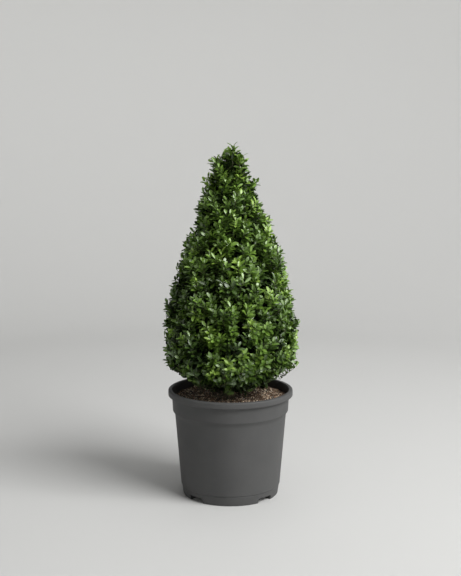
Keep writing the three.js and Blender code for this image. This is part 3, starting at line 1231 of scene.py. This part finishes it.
@dataclass
class Outline:
    """The clipped outline of the crown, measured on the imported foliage."""

    levels: int = 120
    bearings: int = 120
    far: float = 0.3
    inset: float = 1.0 * MM
    seam_reach: int = 3
    blurs: int = 2
    row_margin: float = 1.001
    slope_step: float = 6.0 * MM
    tip_room: float = 6.0 * MM

    def __post_init__(self) -> None:
        """Feel for the outline at each level and bearing, then close the seams and smooth it."""
        tree = self._packed_foliage()
        self.heights = np.linspace(self.low + self.inset, self.high - self.inset, self.levels)
        self.angles = TURN * np.arange(self.bearings) / self.bearings
        table = np.array([[self._felt(tree, height, angle) for angle in self.angles] for height in self.heights])
        table = self._swept(self._swept(table, np.maximum), np.minimum)
        for _ in range(self.blurs):
            table = np.mean(self._neighbours(table, 1), axis=0)
        self.table = table

    def _packed_foliage(self) -> BVHTree:
        """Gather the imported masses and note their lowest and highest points.

        Returns:
            Their triangles, ready for casting rays.
        """
        corners, triangles, count = [], [], 0
        for name in nodes_named("foliage_"):
            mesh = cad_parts[name].data
            corners += [vertex.co[:] for vertex in mesh.vertices]
            triangles += [tuple(count + i for i in face.vertices) for face in mesh.polygons]
            count += len(mesh.vertices)
        self.low = min(corner[2] for corner in corners)
        self.high = max(corner[2] for corner in corners)
        return BVHTree.FromPolygons(corners, triangles)

    def _felt(self, tree: BVHTree, height: float, angle: float) -> float:
        """Feel for the foliage from outside.

        Args:
            tree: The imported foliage.
            height: The level in metres.
            angle: The bearing in radians.

        Returns:
            The radius where it is met, or 0 where it is not.
        """
        out = Vector((math.cos(angle), math.sin(angle), 0))
        hit = tree.ray_cast(out * self.far + Vector((0, 0, height)), -out)[0]
        return max(0.0, hit.dot(out)) if hit is not None else 0.0

    @staticmethod
    def _neighbours(table: np.ndarray, reach: int) -> list[np.ndarray]:
        """Shift a table each way, round the bearings and up and down the levels.

        Args:
            table: Values by level and bearing.
            reach: The furthest shift.

        Returns:
            A shifted table for each pair of shifts.
        """
        padded = np.pad(table, ((reach, reach), (0, 0)), mode="edge")
        rows = [padded[k : k + len(table)] for k in range(2 * reach + 1)]
        return [np.roll(row, shift, axis=1) for row in rows for shift in range(-reach, reach + 1)]

    def _swept(self, table: np.ndarray, choose: np.ufunc) -> np.ndarray:
        """The largest or least value near each place."""
        return choose.reduce(self._neighbours(table, self.seam_reach))

    def radius(self, height: np.ndarray, angle: np.ndarray) -> np.ndarray:
        """Read the outline smoothly between the measured places.

        Args:
            height: Levels in metres.
            angle: Bearings in radians.

        Returns:
            The outline's radius at each.
        """
        spacing = self.heights[1] - self.heights[0]
        row = np.clip((height - self.heights[0]) / spacing, 0, self.levels - self.row_margin)
        column = (angle / TURN * self.bearings) % self.bearings
        i, j = row.astype(int), column.astype(int)
        up, on = row - i, column - j
        k = (j + 1) % self.bearings
        j = j % self.bearings
        low = self.table[i, j] * (1 - on) + self.table[i, k] * on
        high = self.table[i + 1, j] * (1 - on) + self.table[i + 1, k] * on
        return low * (1 - up) + high * up

    def slope(self, height: np.ndarray, angle: np.ndarray) -> np.ndarray:
        """How fast the outline widens with height."""
        step = self.slope_step
        return (self.radius(height + step, angle) - self.radius(height - step, angle)) / (2 * step)

    def even_heights(self, count: int) -> np.ndarray:
        """Share the crown's surface out evenly, with a little more for the tip.

        Args:
            count: How many heights.

        Returns:
            The heights, rising.
        """
        mean = self.table.mean(axis=1)
        area = mean * np.hypot(1, np.gradient(mean, self.heights)) + self.tip_room
        total = np.concatenate([[0], np.cumsum((area[1:] + area[:-1]) / 2)])
        return np.interp((np.arange(count) + 0.5) / count, total / total[-1], self.heights)


@dataclass(frozen=True)
class LeafShape:
    """A small oval box leaf of a few faces, one unit long, folded along its midrib."""

    curl: float
    cup: float

    ROWS = ((0.08, 0.20), (0.27, 0.70), (0.54, 1.0), (0.78, 0.88), (0.94, 0.44))

    def build(self) -> tuple[np.ndarray, np.ndarray]:
        """Lay out the leaf.

        Returns:
            Its vertices, as length, half width and lift, and its triangles.
        """
        points = [(0.0, 0.0, 0.0)]
        for along, wide in self.ROWS:
            lift = -self.curl * along**2
            points += [(along, 0.0, lift)]
            points += [(along, side * wide, lift + self.cup * wide) for side in (1, -1)]
        points.append((1.0, 0.0, -self.curl))
        tip = len(points) - 1
        faces = [(0, 1, 2), (0, 3, 1)]
        for row in range(len(self.ROWS) - 1):
            mid, left, right = 1 + 3 * row, 2 + 3 * row, 3 + 3 * row
            faces += [(mid, mid + 3, left + 3), (mid, left + 3, left)]
            faces += [(mid, right, right + 3), (mid, right + 3, mid + 3)]
        faces += [(tip - 3, tip, tip - 2), (tip - 3, tip - 1, tip)]
        return np.array(points), np.array(faces)


@dataclass
class Shoots:
    """Where every leafy shoot ends, how it grows and how far it may stand proud of the outline."""

    tips: np.ndarray
    headings: np.ndarray
    lengths: np.ndarray
    vigour: np.ndarray
    slack: np.ndarray

    @property
    def bases(self) -> np.ndarray:
        """Where each shoot leaves its twig."""
        return self.tips - self.headings * self.lengths[:, None]

    def joined(self, *others: "Shoots") -> "Shoots":
        """Gather shoots.

        Args:
            others: More shoots.

        Returns:
            These shoots and the others, in order.
        """
        sets = (self, *others)
        names = ("tips", "headings", "lengths", "vigour", "slack")
        return Shoots(*(np.concatenate([getattr(some, name) for some in sets]) for name in names))


@dataclass(frozen=True)
class ShootHabit:
    """One kind of shoot: how it is lifted, strays, is coloured and may stand proud."""

    lift: float = 0.0
    stray: float = 0.0
    vigour: float = 0.0
    slack: float = 0.0


@dataclass(frozen=True)
class SprayHabit:
    """How side shoots stand round a leading shoot. Lengths are in millimetres."""

    slack: Pair = (-5.0, 17.0)
    leader_length: Pair = (38, 54)
    turn_stray: float = 0.28
    spread: Pair = (7, 13)
    drop: Pair = (2, 13)
    splay: Pair = (0.20, 0.60)
    side_length: Pair = (26, 42)
    paler_stray: float = 0.07
    paler_by_drop: float = 3.0


@dataclass(frozen=True)
class LeafHabit:
    """How leaves sit along a shoot. Angles are in degrees and marks are shares of the shoot."""

    length: float = 15.4 * MM
    width: float = 6.1 * MM
    pair_gap: float = 8.4 * MM
    fewest_pairs: int = 3
    fewest_leaves: int = 4
    turn_stray: float = 0.14
    open_foot: float = 66
    open_closing: float = 29
    open_power: float = 1.3
    open_stray: float = 7
    face_stray: float = 0.20
    grown_marks: Colour = (0.0, 0.4, 0.8, 1.0)
    grown: Colour = (0.88, 1.05, 1.0, 0.80)
    length_spread: Pair = (0.86, 1.14)
    width_spread: Pair = (0.88, 1.12)
    width_power: float = 0.7
    tip_room: float = 0.75
    first_pair: float = 0.08
    pair_span: float = 0.92


@dataclass(frozen=True)
class AgeHabit:
    """What makes a spray look young: patches and the place along the shoot, with painted light making sprays paler
    towards the key-lit right side and the top, and painted shade making them darker at the crown's foot.
    """

    patch_scale: float = 28.0
    patch_share: float = 0.22
    # Painted light: sprays paler towards +x, where the key light falls, and towards the top.
    side_gain: float = 0.10
    side_reach: float = 0.13
    top_gain: float = 0.13
    top_middle: float = 0.4
    top_reach: float = 0.25
    # Painted shade: sprays darker near the crown's foot.
    shade_marks: Pair = (0.0, 0.07)
    shade: Pair = (-0.16, 0.0)
    spray_stray: float = 0.17
    along_gain: float = 0.34
    along_middle: float = 0.62
    leaf_stray: float = 0.05
    steps: Colour = (0.12, 0.40, 0.64, 0.86)


@dataclass(frozen=True)
class ForkHabit:
    """How twigs divide on their way from a bough to its shoots."""

    reach: Pair = (0.34, 0.5)
    place_stray: float = 0.07
    onward_pull: float = 0.5
    onward_stray: float = 0.15
    thinning: float = 0.96
    twig_radius: float = 0.62 * MM
    pipe_power: float = 0.30
    shoot_foot: float = 1.3
    shoot_tip: float = 0.55
    rings: int = 4
    thick_above: int = 20
    threefold_above: int = 30
    sides: tuple[int, int, int] = (6, 4, 3)
    path_pull: float = 0.28
    path_aim: float = 1.5


@dataclass
class Crown:
    """Twigs and leaves that grow on from the boughs out to the clipped outline."""

    woodwork: Woodwork
    seed: int = 5
    sprays: int = 790
    inner_shoots: int = 900
    hem_shoots: int = 60
    outer_habit: ShootHabit = ShootHabit(lift=1.15, stray=0.24, vigour=0.50)
    # Vigour 0 gives the inner shoots' leaves mostly the near-black painted-shade colour.
    inner_habit: ShootHabit = ShootHabit(lift=0.7, stray=0.40)
    inner_length: Pair = (26, 40)
    hem_habit: ShootHabit = ShootHabit(vigour=0.36, slack=2 * MM)
    hem_length: Pair = (18, 28)
    spray: SprayHabit = SprayHabit()
    leaf: LeafHabit = LeafHabit()
    age: AgeHabit = AgeHabit()
    fork: ForkHabit = ForkHabit()
    proud: float = 1.05
    ragged: float = 23.0 * MM
    ragged_power: float = 1.2
    inner_share: Pair = (0.55, 0.82)
    side_shoots: int = 2
    height_stray: float = 2.5 * MM
    bearing_stray: float = 0.10
    low_clear: float = 6.0 * MM
    high_clear: float = 4.0 * MM
    lift_foot: float = 0.65
    lift_climb: float = 0.9
    out_fade: float = 0.4
    hem_height: Pair = (9, 20)
    hem_radius: Pair = (16, 46)
    hem_lift: Pair = (-0.2, 0.4)
    crest_depth: float = 5.0 * MM
    crest_lift: float = 2.0 * MM
    crest_lean: float = 9.0
    crest_vigour: float = 0.70
    crest_sides: int = 3
    crest_slack: float = 12.0 * MM
    foot_clear: float = 7.0 * MM
    clip_marks: Pair = (0.02, 0.08)
    clip_slack: Pair = (-0.3, 1.0)
    clip_over: float = 2.0 * MM
    bough_end: Pair = (8.0 * MM, 2.0 * MM)
    stem_back: float = 5.0 * MM
    shapes: tuple[LeafShape, ...] = (
        LeafShape(0.10, 0.05),
        LeafShape(0.16, 0.10),
        LeafShape(0.05, 0.13),
        LeafShape(0.22, 0.02),
    )

    def __post_init__(self) -> None:
        """Measure the outline and plan the shoots, leaves and twig ends."""
        self.random = np.random.default_rng(self.seed)
        self.outline = Outline()
        self.masses = nodes_named("foliage_")
        self.middles = np.array([node_points(name).mean(axis=0) for name in self.masses])
        self.shoots = self._outer().joined(self._inner(), self._hem(), self._crests())
        gaps = np.linalg.norm(self.shoots.bases[:, None] - self.middles[None], axis=2)
        self.owner = gaps.argmin(axis=1)
        self.leaves = self._leaf_rows()
        self.leafy = np.bincount(self.leaves["shoot"], minlength=len(self.owner)) >= self.leaf.fewest_leaves
        reach = np.zeros(len(self.owner))
        np.maximum.at(reach, self.leaves["shoot"], self.leaves["reach"])
        self.twig_ends = self.shoots.bases + self.shoots.headings * reach[:, None]

    def _millimetres(self, span: Pair, shape: int | tuple[int, int]) -> np.ndarray:
        """Random lengths in metres, within a span in millimetres."""
        return self.random.uniform(*span, shape) * MM

    def _on_outline(self, count: int, share: np.ndarray | float) -> tuple[np.ndarray, np.ndarray, np.ndarray]:
        """Spread points evenly at a share of the outline's radius.

        Args:
            count: How many points.
            share: The share of the radius, for each point or for all.

        Returns:
            The points, the ways out of the crown there, and the points' heights.
        """
        outline = self.outline
        height = outline.even_heights(count) + self.height_stray * self.random.standard_normal(count)
        height = np.clip(height, outline.low + self.low_clear, outline.high - self.high_clear)
        stray = self.bearing_stray * self.random.standard_normal(count)
        angle = (np.arange(count) * TURN * GOLDEN + stray) % TURN
        radius = outline.radius(height, angle) * share
        out = level_ways(angle)
        normal = unit(out - UP * outline.slope(height, angle)[:, None])
        return out * radius[:, None] + UP * height[:, None], normal, height

    def _headings(self, normal: np.ndarray, height: np.ndarray, habit: ShootHabit) -> np.ndarray:
        """Point shoots outwards, drawn up towards the light, and more so near the tip.

        Args:
            normal: The way out of the crown at each shoot.
            height: Each shoot's height.
            habit: How the shoots are lifted and stray.

        Returns:
            The shoots' unit headings.
        """
        climb = (height - self.outline.low) / (self.outline.high - self.outline.low)
        up = UP * (habit.lift * (self.lift_foot + self.lift_climb * climb))[:, None]
        out = normal * (1.0 - self.out_fade * climb)[:, None]
        return unit(out + up + habit.stray * self.random.standard_normal(normal.shape))

    def _sprayed(self, tips: np.ndarray, headings: np.ndarray, vigour: np.ndarray, sides: int) -> Shoots:
        """Give each leading shoot some side shoots that stop short of it.

        Args:
            tips: Ends of the leading shoots.
            headings: Their ways.
            vigour: How young each looks.
            sides: Side shoots on each.

        Returns:
            The leading shoots, then their side shoots.
        """
        habit, count = self.spray, len(tips)
        slack = self._millimetres(habit.slack, count)
        leaders = Shoots(tips, headings, self._millimetres(habit.leader_length, count), vigour, slack)
        roll = TURN * self.random.random(count)
        followers = []
        for side in range(sides):
            turn = roll + TURN * (side + habit.turn_stray * self.random.standard_normal(count)) / sides
            way = around(headings, turn)
            spread = self._millimetres(habit.spread, (count, 1))
            drop = self._millimetres(habit.drop, (count, 1))
            heading = unit(headings + way * self.random.uniform(*habit.splay, (count, 1)))
            length = self._millimetres(habit.side_length, count)
            paler = vigour + habit.paler_stray * self.random.standard_normal(count)
            paler = paler - habit.paler_by_drop * drop[:, 0]
            followers.append(Shoots(tips + way * spread - headings * drop, heading, length, paler, slack))
        return leaders.joined(*followers)

    def _outer(self) -> Shoots:
        """Make the sprays whose tips form the clipped surface.

        Returns:
            Their shoots.
        """
        tips, normal, height = self._on_outline(self.sprays, self.proud)
        depth = self.ragged * self.random.random(self.sprays) ** self.ragged_power
        tips = tips - normal * depth[:, None]
        headings = self._headings(normal, height, self.outer_habit)
        return self._sprayed(tips, headings, self._vigour(tips, self.outer_habit.vigour), self.side_shoots)

    def _inner(self) -> Shoots:
        """Make the shaded shoots behind the surface that close the view into the crown, their leaves mostly in the
        near-black painted-shade colour.

        Returns:
            The shoots.
        """
        count, habit = self.inner_shoots, self.inner_habit
        share = self.random.uniform(*self.inner_share, count)
        tips, normal, height = self._on_outline(count, share)
        headings = self._headings(normal, height, habit)
        lengths = self._millimetres(self.inner_length, count)
        return Shoots(tips, headings, lengths, np.full(count, habit.vigour), np.full(count, habit.slack))

    def _hem(self) -> Shoots:
        """Make short shoots round the foot that spread low over the soil.

        Returns:
            The shoots.
        """
        count, habit = self.hem_shoots, self.hem_habit
        angle = TURN * (np.arange(count) * GOLDEN % 1)
        height = self.outline.low + self._millimetres(self.hem_height, count)
        radius = self._millimetres(self.hem_radius, count)
        out = level_ways(angle)
        headings = unit(out + UP * self.random.uniform(*self.hem_lift, count)[:, None])
        lengths = self._millimetres(self.hem_length, count)
        tips = out * radius[:, None] + UP * height[:, None]
        return Shoots(tips, headings, lengths, self._vigour(tips, habit.vigour), np.full(count, habit.slack))

    def _crests(self) -> Shoots:
        """Make the leading shoot and the shoots that top the highest masses.

        Returns:
            The sprays there.
        """
        tips, headings = [], []
        for name in nodes_named("foliage_leader") + nodes_named("foliage_top"):
            cloud = node_points(name)
            if name == "foliage_leader":
                tip, lean = cloud[cloud[:, 2].argmax()], 0.0
            else:
                high = cloud[cloud[:, 2] > cloud[:, 2].max() - self.crest_depth]
                tip, lean = high[np.hypot(high[:, 0], high[:, 1]).argmax()], self.crest_lean
            tips.append(tip + self.crest_lift * UP)
            headings.append(UP + tips[-1] * [1, 1, 0] * lean)
        vigour = np.full(len(tips), self.crest_vigour)
        crests = self._sprayed(np.array(tips), unit(np.array(headings)), vigour, self.crest_sides)
        crests.slack[:] = self.crest_slack
        return crests

    def _vigour(self, spots: np.ndarray, middle: float) -> np.ndarray:
        """Say how young each spray looks: patchy, with painted light making it paler towards the key-lit right
        side and the top, and painted shade making it darker at the crown's foot.

        Args:
            spots: Where the sprays end.
            middle: The middling value.

        Returns:
            A value for each spray.
        """
        age = self.age
        patches = np.array([noise.noise(Vector(spot * age.patch_scale)) for spot in spots])
        # Painted light: paler sprays towards the key-lit right side and the top.
        side = age.side_gain * spots[:, 0] / age.side_reach
        lit_side_and_top = side + age.top_gain * (spots[:, 2] - age.top_middle) / age.top_reach
        # Painted shade: darker sprays at the crown's foot.
        shaded = np.interp(spots[:, 2] - self.outline.low, age.shade_marks, age.shade)
        stray = age.spray_stray * self.random.standard_normal(len(spots))
        return middle + age.patch_share * patches + lit_side_and_top + shaded + stray

    def _looks(self, vigour: np.ndarray, share: np.ndarray) -> np.ndarray:
        """Choose the age of each leaf.

        Args:
            vigour: How young its spray looks.
            share: Its share of the way along the shoot.

        Returns:
            The place of its LeafAge.
        """
        age = self.age
        score = vigour + age.along_gain * (share - age.along_middle)
        score = score + age.leaf_stray * self.random.standard_normal(len(vigour))
        return np.digitize(score, age.steps)

    def leaf_heaps(self) -> list[Heap]:
        """Lay the leaves of every mass.

        Returns:
            A heap for each mass.
        """
        materials = [age.material() for age in LeafAge]
        heaps = [Heap(name.replace("foliage", "leaves"), materials) for name in self.masses]
        rows = self.leaves
        kinds = self.random.integers(0, len(self.shapes), len(rows["length"]))
        for kind, shape in enumerate(self.shapes):
            pattern, faces = shape.build()
            for mass, heap in enumerate(heaps):
                keep = (kinds == kind) & (rows["owner"] == mass)
                if keep.any():
                    points = self._bent(pattern, {key: value[keep] for key, value in rows.items()})
                    clear = points[..., 2].min(axis=1) > self.outline.low + self.foot_clear
                    heap.add(points[clear], faces, rows["look"][keep][clear])
        return heaps

    def _leaf_rows(self) -> dict[str, np.ndarray]:
        """Set leaves in opposite pairs that turn a right angle from one to the next.

        Returns:
            Foot, way, face, size, age and owner of every leaf that the shears left.
        """
        shoots, leaf = self.shoots, self.leaf
        pairs = np.maximum(leaf.fewest_pairs, np.round(shoots.lengths / leaf.pair_gap)).astype(int)
        which = np.repeat(np.arange(len(pairs)), 2 * (pairs + 1))
        step = np.concatenate([np.repeat(np.arange(some + 1), 2) for some in pairs])
        hand = np.concatenate([np.tile([0.0, 1.0], some + 1) for some in pairs])
        count, heading, share = len(which), shoots.headings[which], step / pairs[which]
        roll = (TURN * self.random.random(len(pairs)))[which]
        stray = leaf.turn_stray * self.random.standard_normal(count)
        side = around(heading, roll + step * TURN / 4 + hand * math.pi + stray)
        opening = leaf.open_foot - leaf.open_closing * share**leaf.open_power
        opening = np.radians(opening + leaf.open_stray * self.random.standard_normal(count))
        way = heading * np.cos(opening)[:, None] + side * np.sin(opening)[:, None]
        face = heading * np.sin(opening)[:, None] - side * np.cos(opening)[:, None]
        face = unit(face + leaf.face_stray * self.random.standard_normal(face.shape))
        face = unit(face - way * (face * way).sum(axis=1, keepdims=True))
        grown = np.interp(share, leaf.grown_marks, leaf.grown)
        length = leaf.length * grown * self.random.uniform(*leaf.length_spread, count)
        room = shoots.lengths[which] - leaf.tip_room * leaf.length
        reach = room * (leaf.first_pair + leaf.pair_span * share)
        foot = shoots.bases[which] + heading * reach[:, None]
        rows = {
            "foot": foot,
            "way": way,
            "face": face,
            "length": length,
            "width": leaf.width * grown**leaf.width_power * self.random.uniform(*leaf.width_spread, count),
            "look": self._looks(shoots.vigour[which], share),
            "owner": self.owner[which],
            "shoot": which,
            "reach": reach,
        }
        kept = self._unclipped(foot + way * length[:, None], shoots.slack[which])
        kept &= np.bincount(which[kept], minlength=len(pairs))[which] >= leaf.fewest_leaves
        return {key: value[kept] for key, value in rows.items()}

    def _unclipped(self, ends: np.ndarray, slack: np.ndarray) -> np.ndarray:
        """Find the leaves that the shears left.

        Args:
            ends: Leaf tips.
            slack: How far each may stand proud of the outline.

        Returns:
            Whether each tip lies inside.
        """
        angle = np.arctan2(ends[:, 1], ends[:, 0]) % TURN
        slack = slack * np.interp(ends[:, 2] - self.outline.low, self.clip_marks, self.clip_slack)
        room = self.outline.radius(ends[:, 2], angle) + slack - np.hypot(ends[:, 0], ends[:, 1])
        return (room > 0) & (ends[:, 2] < self.outline.high + self.clip_over)

    @staticmethod
    def _bent(pattern: np.ndarray, rows: dict[str, np.ndarray]) -> np.ndarray:
        """Lay a leaf pattern along each leaf's way and face.

        Args:
            pattern: The pattern's vertices.
            rows: The leaves.

        Returns:
            Vertices of every leaf, (leaves, vertices, 3).
        """
        across = np.cross(rows["face"], rows["way"])
        long = pattern[None, :, 0, None] * (rows["way"] * rows["length"][:, None])[:, None]
        wide = pattern[None, :, 1, None] * (across * rows["width"][:, None] / 2)[:, None]
        lift = pattern[None, :, 2, None] * (rows["face"] * rows["length"][:, None])[:, None]
        return rows["foot"][:, None] + long + wide + lift

    def twig_heaps(self) -> list[Heap]:
        """Grow forking branches from each bough's end to every shoot of its mass.

        Returns:
            A heap for each mass.
        """
        skin = TwigSkin().material()
        heaps = []
        for mass, name in enumerate(self.masses):
            heap = Heap(name.replace("foliage", "twigs"), [skin])
            ends = np.flatnonzero((self.owner == mass) & self.leafy)
            start, heading, radius = self._bough_end(name)
            self._branch(heap, start, heading, radius, ends)
            heaps.append(heap)
        return heaps

    def _bough_end(self, mass: str) -> tuple[np.ndarray, np.ndarray, float]:
        """Find where a mass sets out: its bough's end, or the stem under the leading tuft.

        Args:
            mass: The mass's node.

        Returns:
            The place, the limb's heading and its radius there.
        """
        limb = self.woodwork.boughs.get(mass.replace("foliage", "bough"))
        if limb is None:
            limb = self.woodwork.stem
            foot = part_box(mass)[0][2]
            along = np.array([foot - self.stem_back, foot])
        else:
            along = limb.high - np.array(self.bough_end)
        points = limb.centre(along)
        return points[1], unit(points[1] - points[0]), float(limb.radius(along)[1])

    def _branch(self, heap: Heap, start: np.ndarray, heading: np.ndarray, radius: float, ends: np.ndarray) -> None:
        """Grow one limb towards the middle of its shoots and divide there, down to single shoots.

        Args:
            heap: Where the twigs go.
            start: Where the limb sets out.
            heading: Its way there.
            radius: Its radius there.
            ends: The shoots it feeds.
        """
        if len(ends) == 0:
            return
        if len(ends) == 1:
            self._last_twig(heap, start, heading, radius, ends[0])
            return
        fork, bases = self.fork, self.shoots.bases[ends]
        thick, slim, _ = fork.sides
        middle = bases.mean(axis=0)
        reach = self.random.uniform(*fork.reach)
        way = middle - start
        place = start + way * reach + fork.place_stray * np.linalg.norm(way) * self.random.standard_normal(3)
        stray = fork.onward_stray * self.random.standard_normal(3)
        onward = unit(fork.onward_pull * heading + unit(way) + stray)
        thin = min(radius * fork.thinning, fork.twig_radius * len(ends) ** fork.pipe_power)
        path = self._swept_path(start, heading, place, onward)
        add_tube(heap, path, np.linspace(radius, thin, len(path)), thick if len(ends) > fork.thick_above else slim)
        spread = bases - middle
        widest = np.linalg.svd(spread, full_matrices=False)[2][0]
        order = ends[np.argsort(spread @ widest)]
        for group in np.array_split(order, 3 if len(ends) > fork.threefold_above else 2):
            self._branch(heap, place, onward, thin, group)

    def _last_twig(self, heap: Heap, start: np.ndarray, heading: np.ndarray, radius: float, shoot: int) -> None:
        """Grow a twig into a single shoot and on to its last leaves.

        Args:
            heap: Where the twig goes.
            start: Where it sets out.
            heading: Its way there.
            radius: The limb's radius there.
            shoot: The shoot's place.
        """
        fork, base = self.fork, self.shoots.bases[shoot]
        curve = self._swept_path(start, heading, base, self.shoots.headings[shoot])
        path = np.concatenate([curve[:-1], [base, self.twig_ends[shoot]]])
        foot = min(radius, fork.twig_radius * fork.shoot_foot)
        radii = np.linspace(foot, fork.twig_radius, fork.rings)
        add_tube(heap, path, np.concatenate([radii, [fork.twig_radius * fork.shoot_tip]]), fork.sides[2])

    def _swept_path(self, start: np.ndarray, out: np.ndarray, end: np.ndarray, arrive: np.ndarray) -> np.ndarray:
        """Lay a smooth path that leaves and arrives along set ways.

        Args:
            start: Where it starts.
            out: The way it leaves by.
            end: Where it ends.
            arrive: The way it arrives by.

        Returns:
            Points on the path, both ends included.
        """
        pull = self.fork.path_pull * np.linalg.norm(end - start)
        leave = unit(out + self.fork.path_aim * unit(end - start))
        stops = np.stack([start, start + leave * pull, end - arrive * pull, end])
        t = np.linspace(0, 1, self.fork.rings)[:, None]
        weights = np.concatenate([(1 - t) ** 3, 3 * t * (1 - t) ** 2, 3 * t**2 * (1 - t), t**3], axis=1)
        return weights @ stops

    def place(self) -> None:
        """Grow the twigs and leaves, each mass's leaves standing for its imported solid."""
        for heap in self.twig_heaps():
            mount(heap.piece(), "bark")
        slots = {"skirt": "old_leaf", "lower": "old_leaf", "upper": "mid_leaf"}
        for heap, node in zip(self.leaf_heaps(), self.masses):
            mount(heap.piece(), slots.get(node.split("_")[1], "young_leaf"), node)


# ------------------------------------------------------------------------ studio


@dataclass(frozen=True)
class Panel:
    """A square soft light aimed at a point."""

    name: str
    where: Sequence[float]
    aim: Sequence[float]
    size: float
    watts: float

    def place(self) -> None:
        """Hang the light."""
        turn = (Vector(self.where) - Vector(self.aim)).to_track_quat("Z", "Y").to_euler()
        bpy.ops.object.light_add(type="AREA", location=self.where, rotation=turn)
        lamp = bpy.context.object
        lamp.name = self.name
        lamp.data.size = self.size
        lamp.data.energy = self.watts
        lamp.visible_camera = False


@dataclass
class Studio:
    """A pale round sweep, a soft key light from the right, softer fill, and the camera."""

    floor_radius: float = 1.65
    floor_rings: Pair = (0.02, 0.8)
    cove_radius: float = 1.2
    cove_steps: int = 24
    wall_height: float = 1.75
    sides: int = 96
    key_bearing: float = -37.0
    key_height: float = 41.5
    key_distance: float = 4.0
    key_aim: Triple = (0, 0, 0.25)
    key_size: float = 2.35
    key_watts: float = 224.0
    panels: tuple[Panel, ...] = (
        Panel("top_panel", (0.3, -0.1, 2.5), (0.2, 0, 0), 2.0, 13.0),
        Panel("side_panel", (2.0, -0.5, 0.45), (0, 0, 0.15), 0.9, 6.0),
        Panel("back_panel", (0.0, 1.45, 1.35), (0.0, 1.45, 0), 1.3, 2.4),
    )
    air: float = 0.05
    air_colour: Colour = rgba(0.97, 0.98, 1.0)
    eye: Triple = (0.0, -1.963, 0.676)
    pitch: float = 8.0
    lens: float = 65.0
    sensor: float = 36.0

    def _sweep(self) -> None:
        """Build the floor and wall in one round cove."""
        outline = [(radius, 0.0) for radius in self.floor_rings]
        outline += arc((self.floor_radius, self.cove_radius), self.cove_radius, -90, 0, self.cove_steps)
        outline += [(self.floor_radius + self.cove_radius, self.wall_height)]
        bpy.ops.mesh.primitive_circle_add(vertices=self.sides, radius=outline[0][0], fill_type="NGON")
        sweep = bpy.context.object
        sweep.name = "studio_sweep"
        with editing(sweep):
            raise_rings(outline)
            bpy.ops.mesh.select_all(action="SELECT")
            bpy.ops.mesh.normals_make_consistent(inside=True)
        pick(sweep)
        bpy.ops.object.shade_smooth()
        dress(sweep, StudioPaint().material())

    def _key_light(self) -> Panel:
        """Work out the key light.

        Returns:
            The light, not yet hung.
        """
        bearing, height = math.radians(self.key_bearing), math.radians(self.key_height)
        level = math.cos(height)
        out = Vector((math.cos(bearing) * level, math.sin(bearing) * level, math.sin(height)))
        return Panel("key_light", out * self.key_distance, self.key_aim, self.key_size, self.key_watts)

    def place(self) -> None:
        """Set up the sweep, lights, world and camera."""
        self._sweep()
        for panel in (self._key_light(), *self.panels):
            panel.place()
        world = bpy.data.worlds.new("studio_air")
        bpy.context.scene.world = world
        world.use_nodes = True
        backdrop = world.node_tree.nodes["Background"]
        backdrop.inputs["Color"].default_value = self.air_colour
        backdrop.inputs["Strength"].default_value = self.air
        bpy.ops.object.camera_add(location=self.eye, rotation=(math.radians(90 - self.pitch), 0, 0))
        camera = bpy.context.object
        camera.data.lens = self.lens
        camera.data.sensor_width = self.sensor
        bpy.context.scene.camera = camera
        bpy.context.scene.view_settings.view_transform = "Standard"


def main() -> None:
    """Build every part in order and note its size."""
    logging.basicConfig(level=logging.INFO, format="%(name)s %(message)s")
    NurseryPot().place()
    PottingMix().place()
    woodwork = Woodwork()
    woodwork.place()
    Crown(woodwork).place()
    Studio().place()


if __name__ == "__main__":
    main()
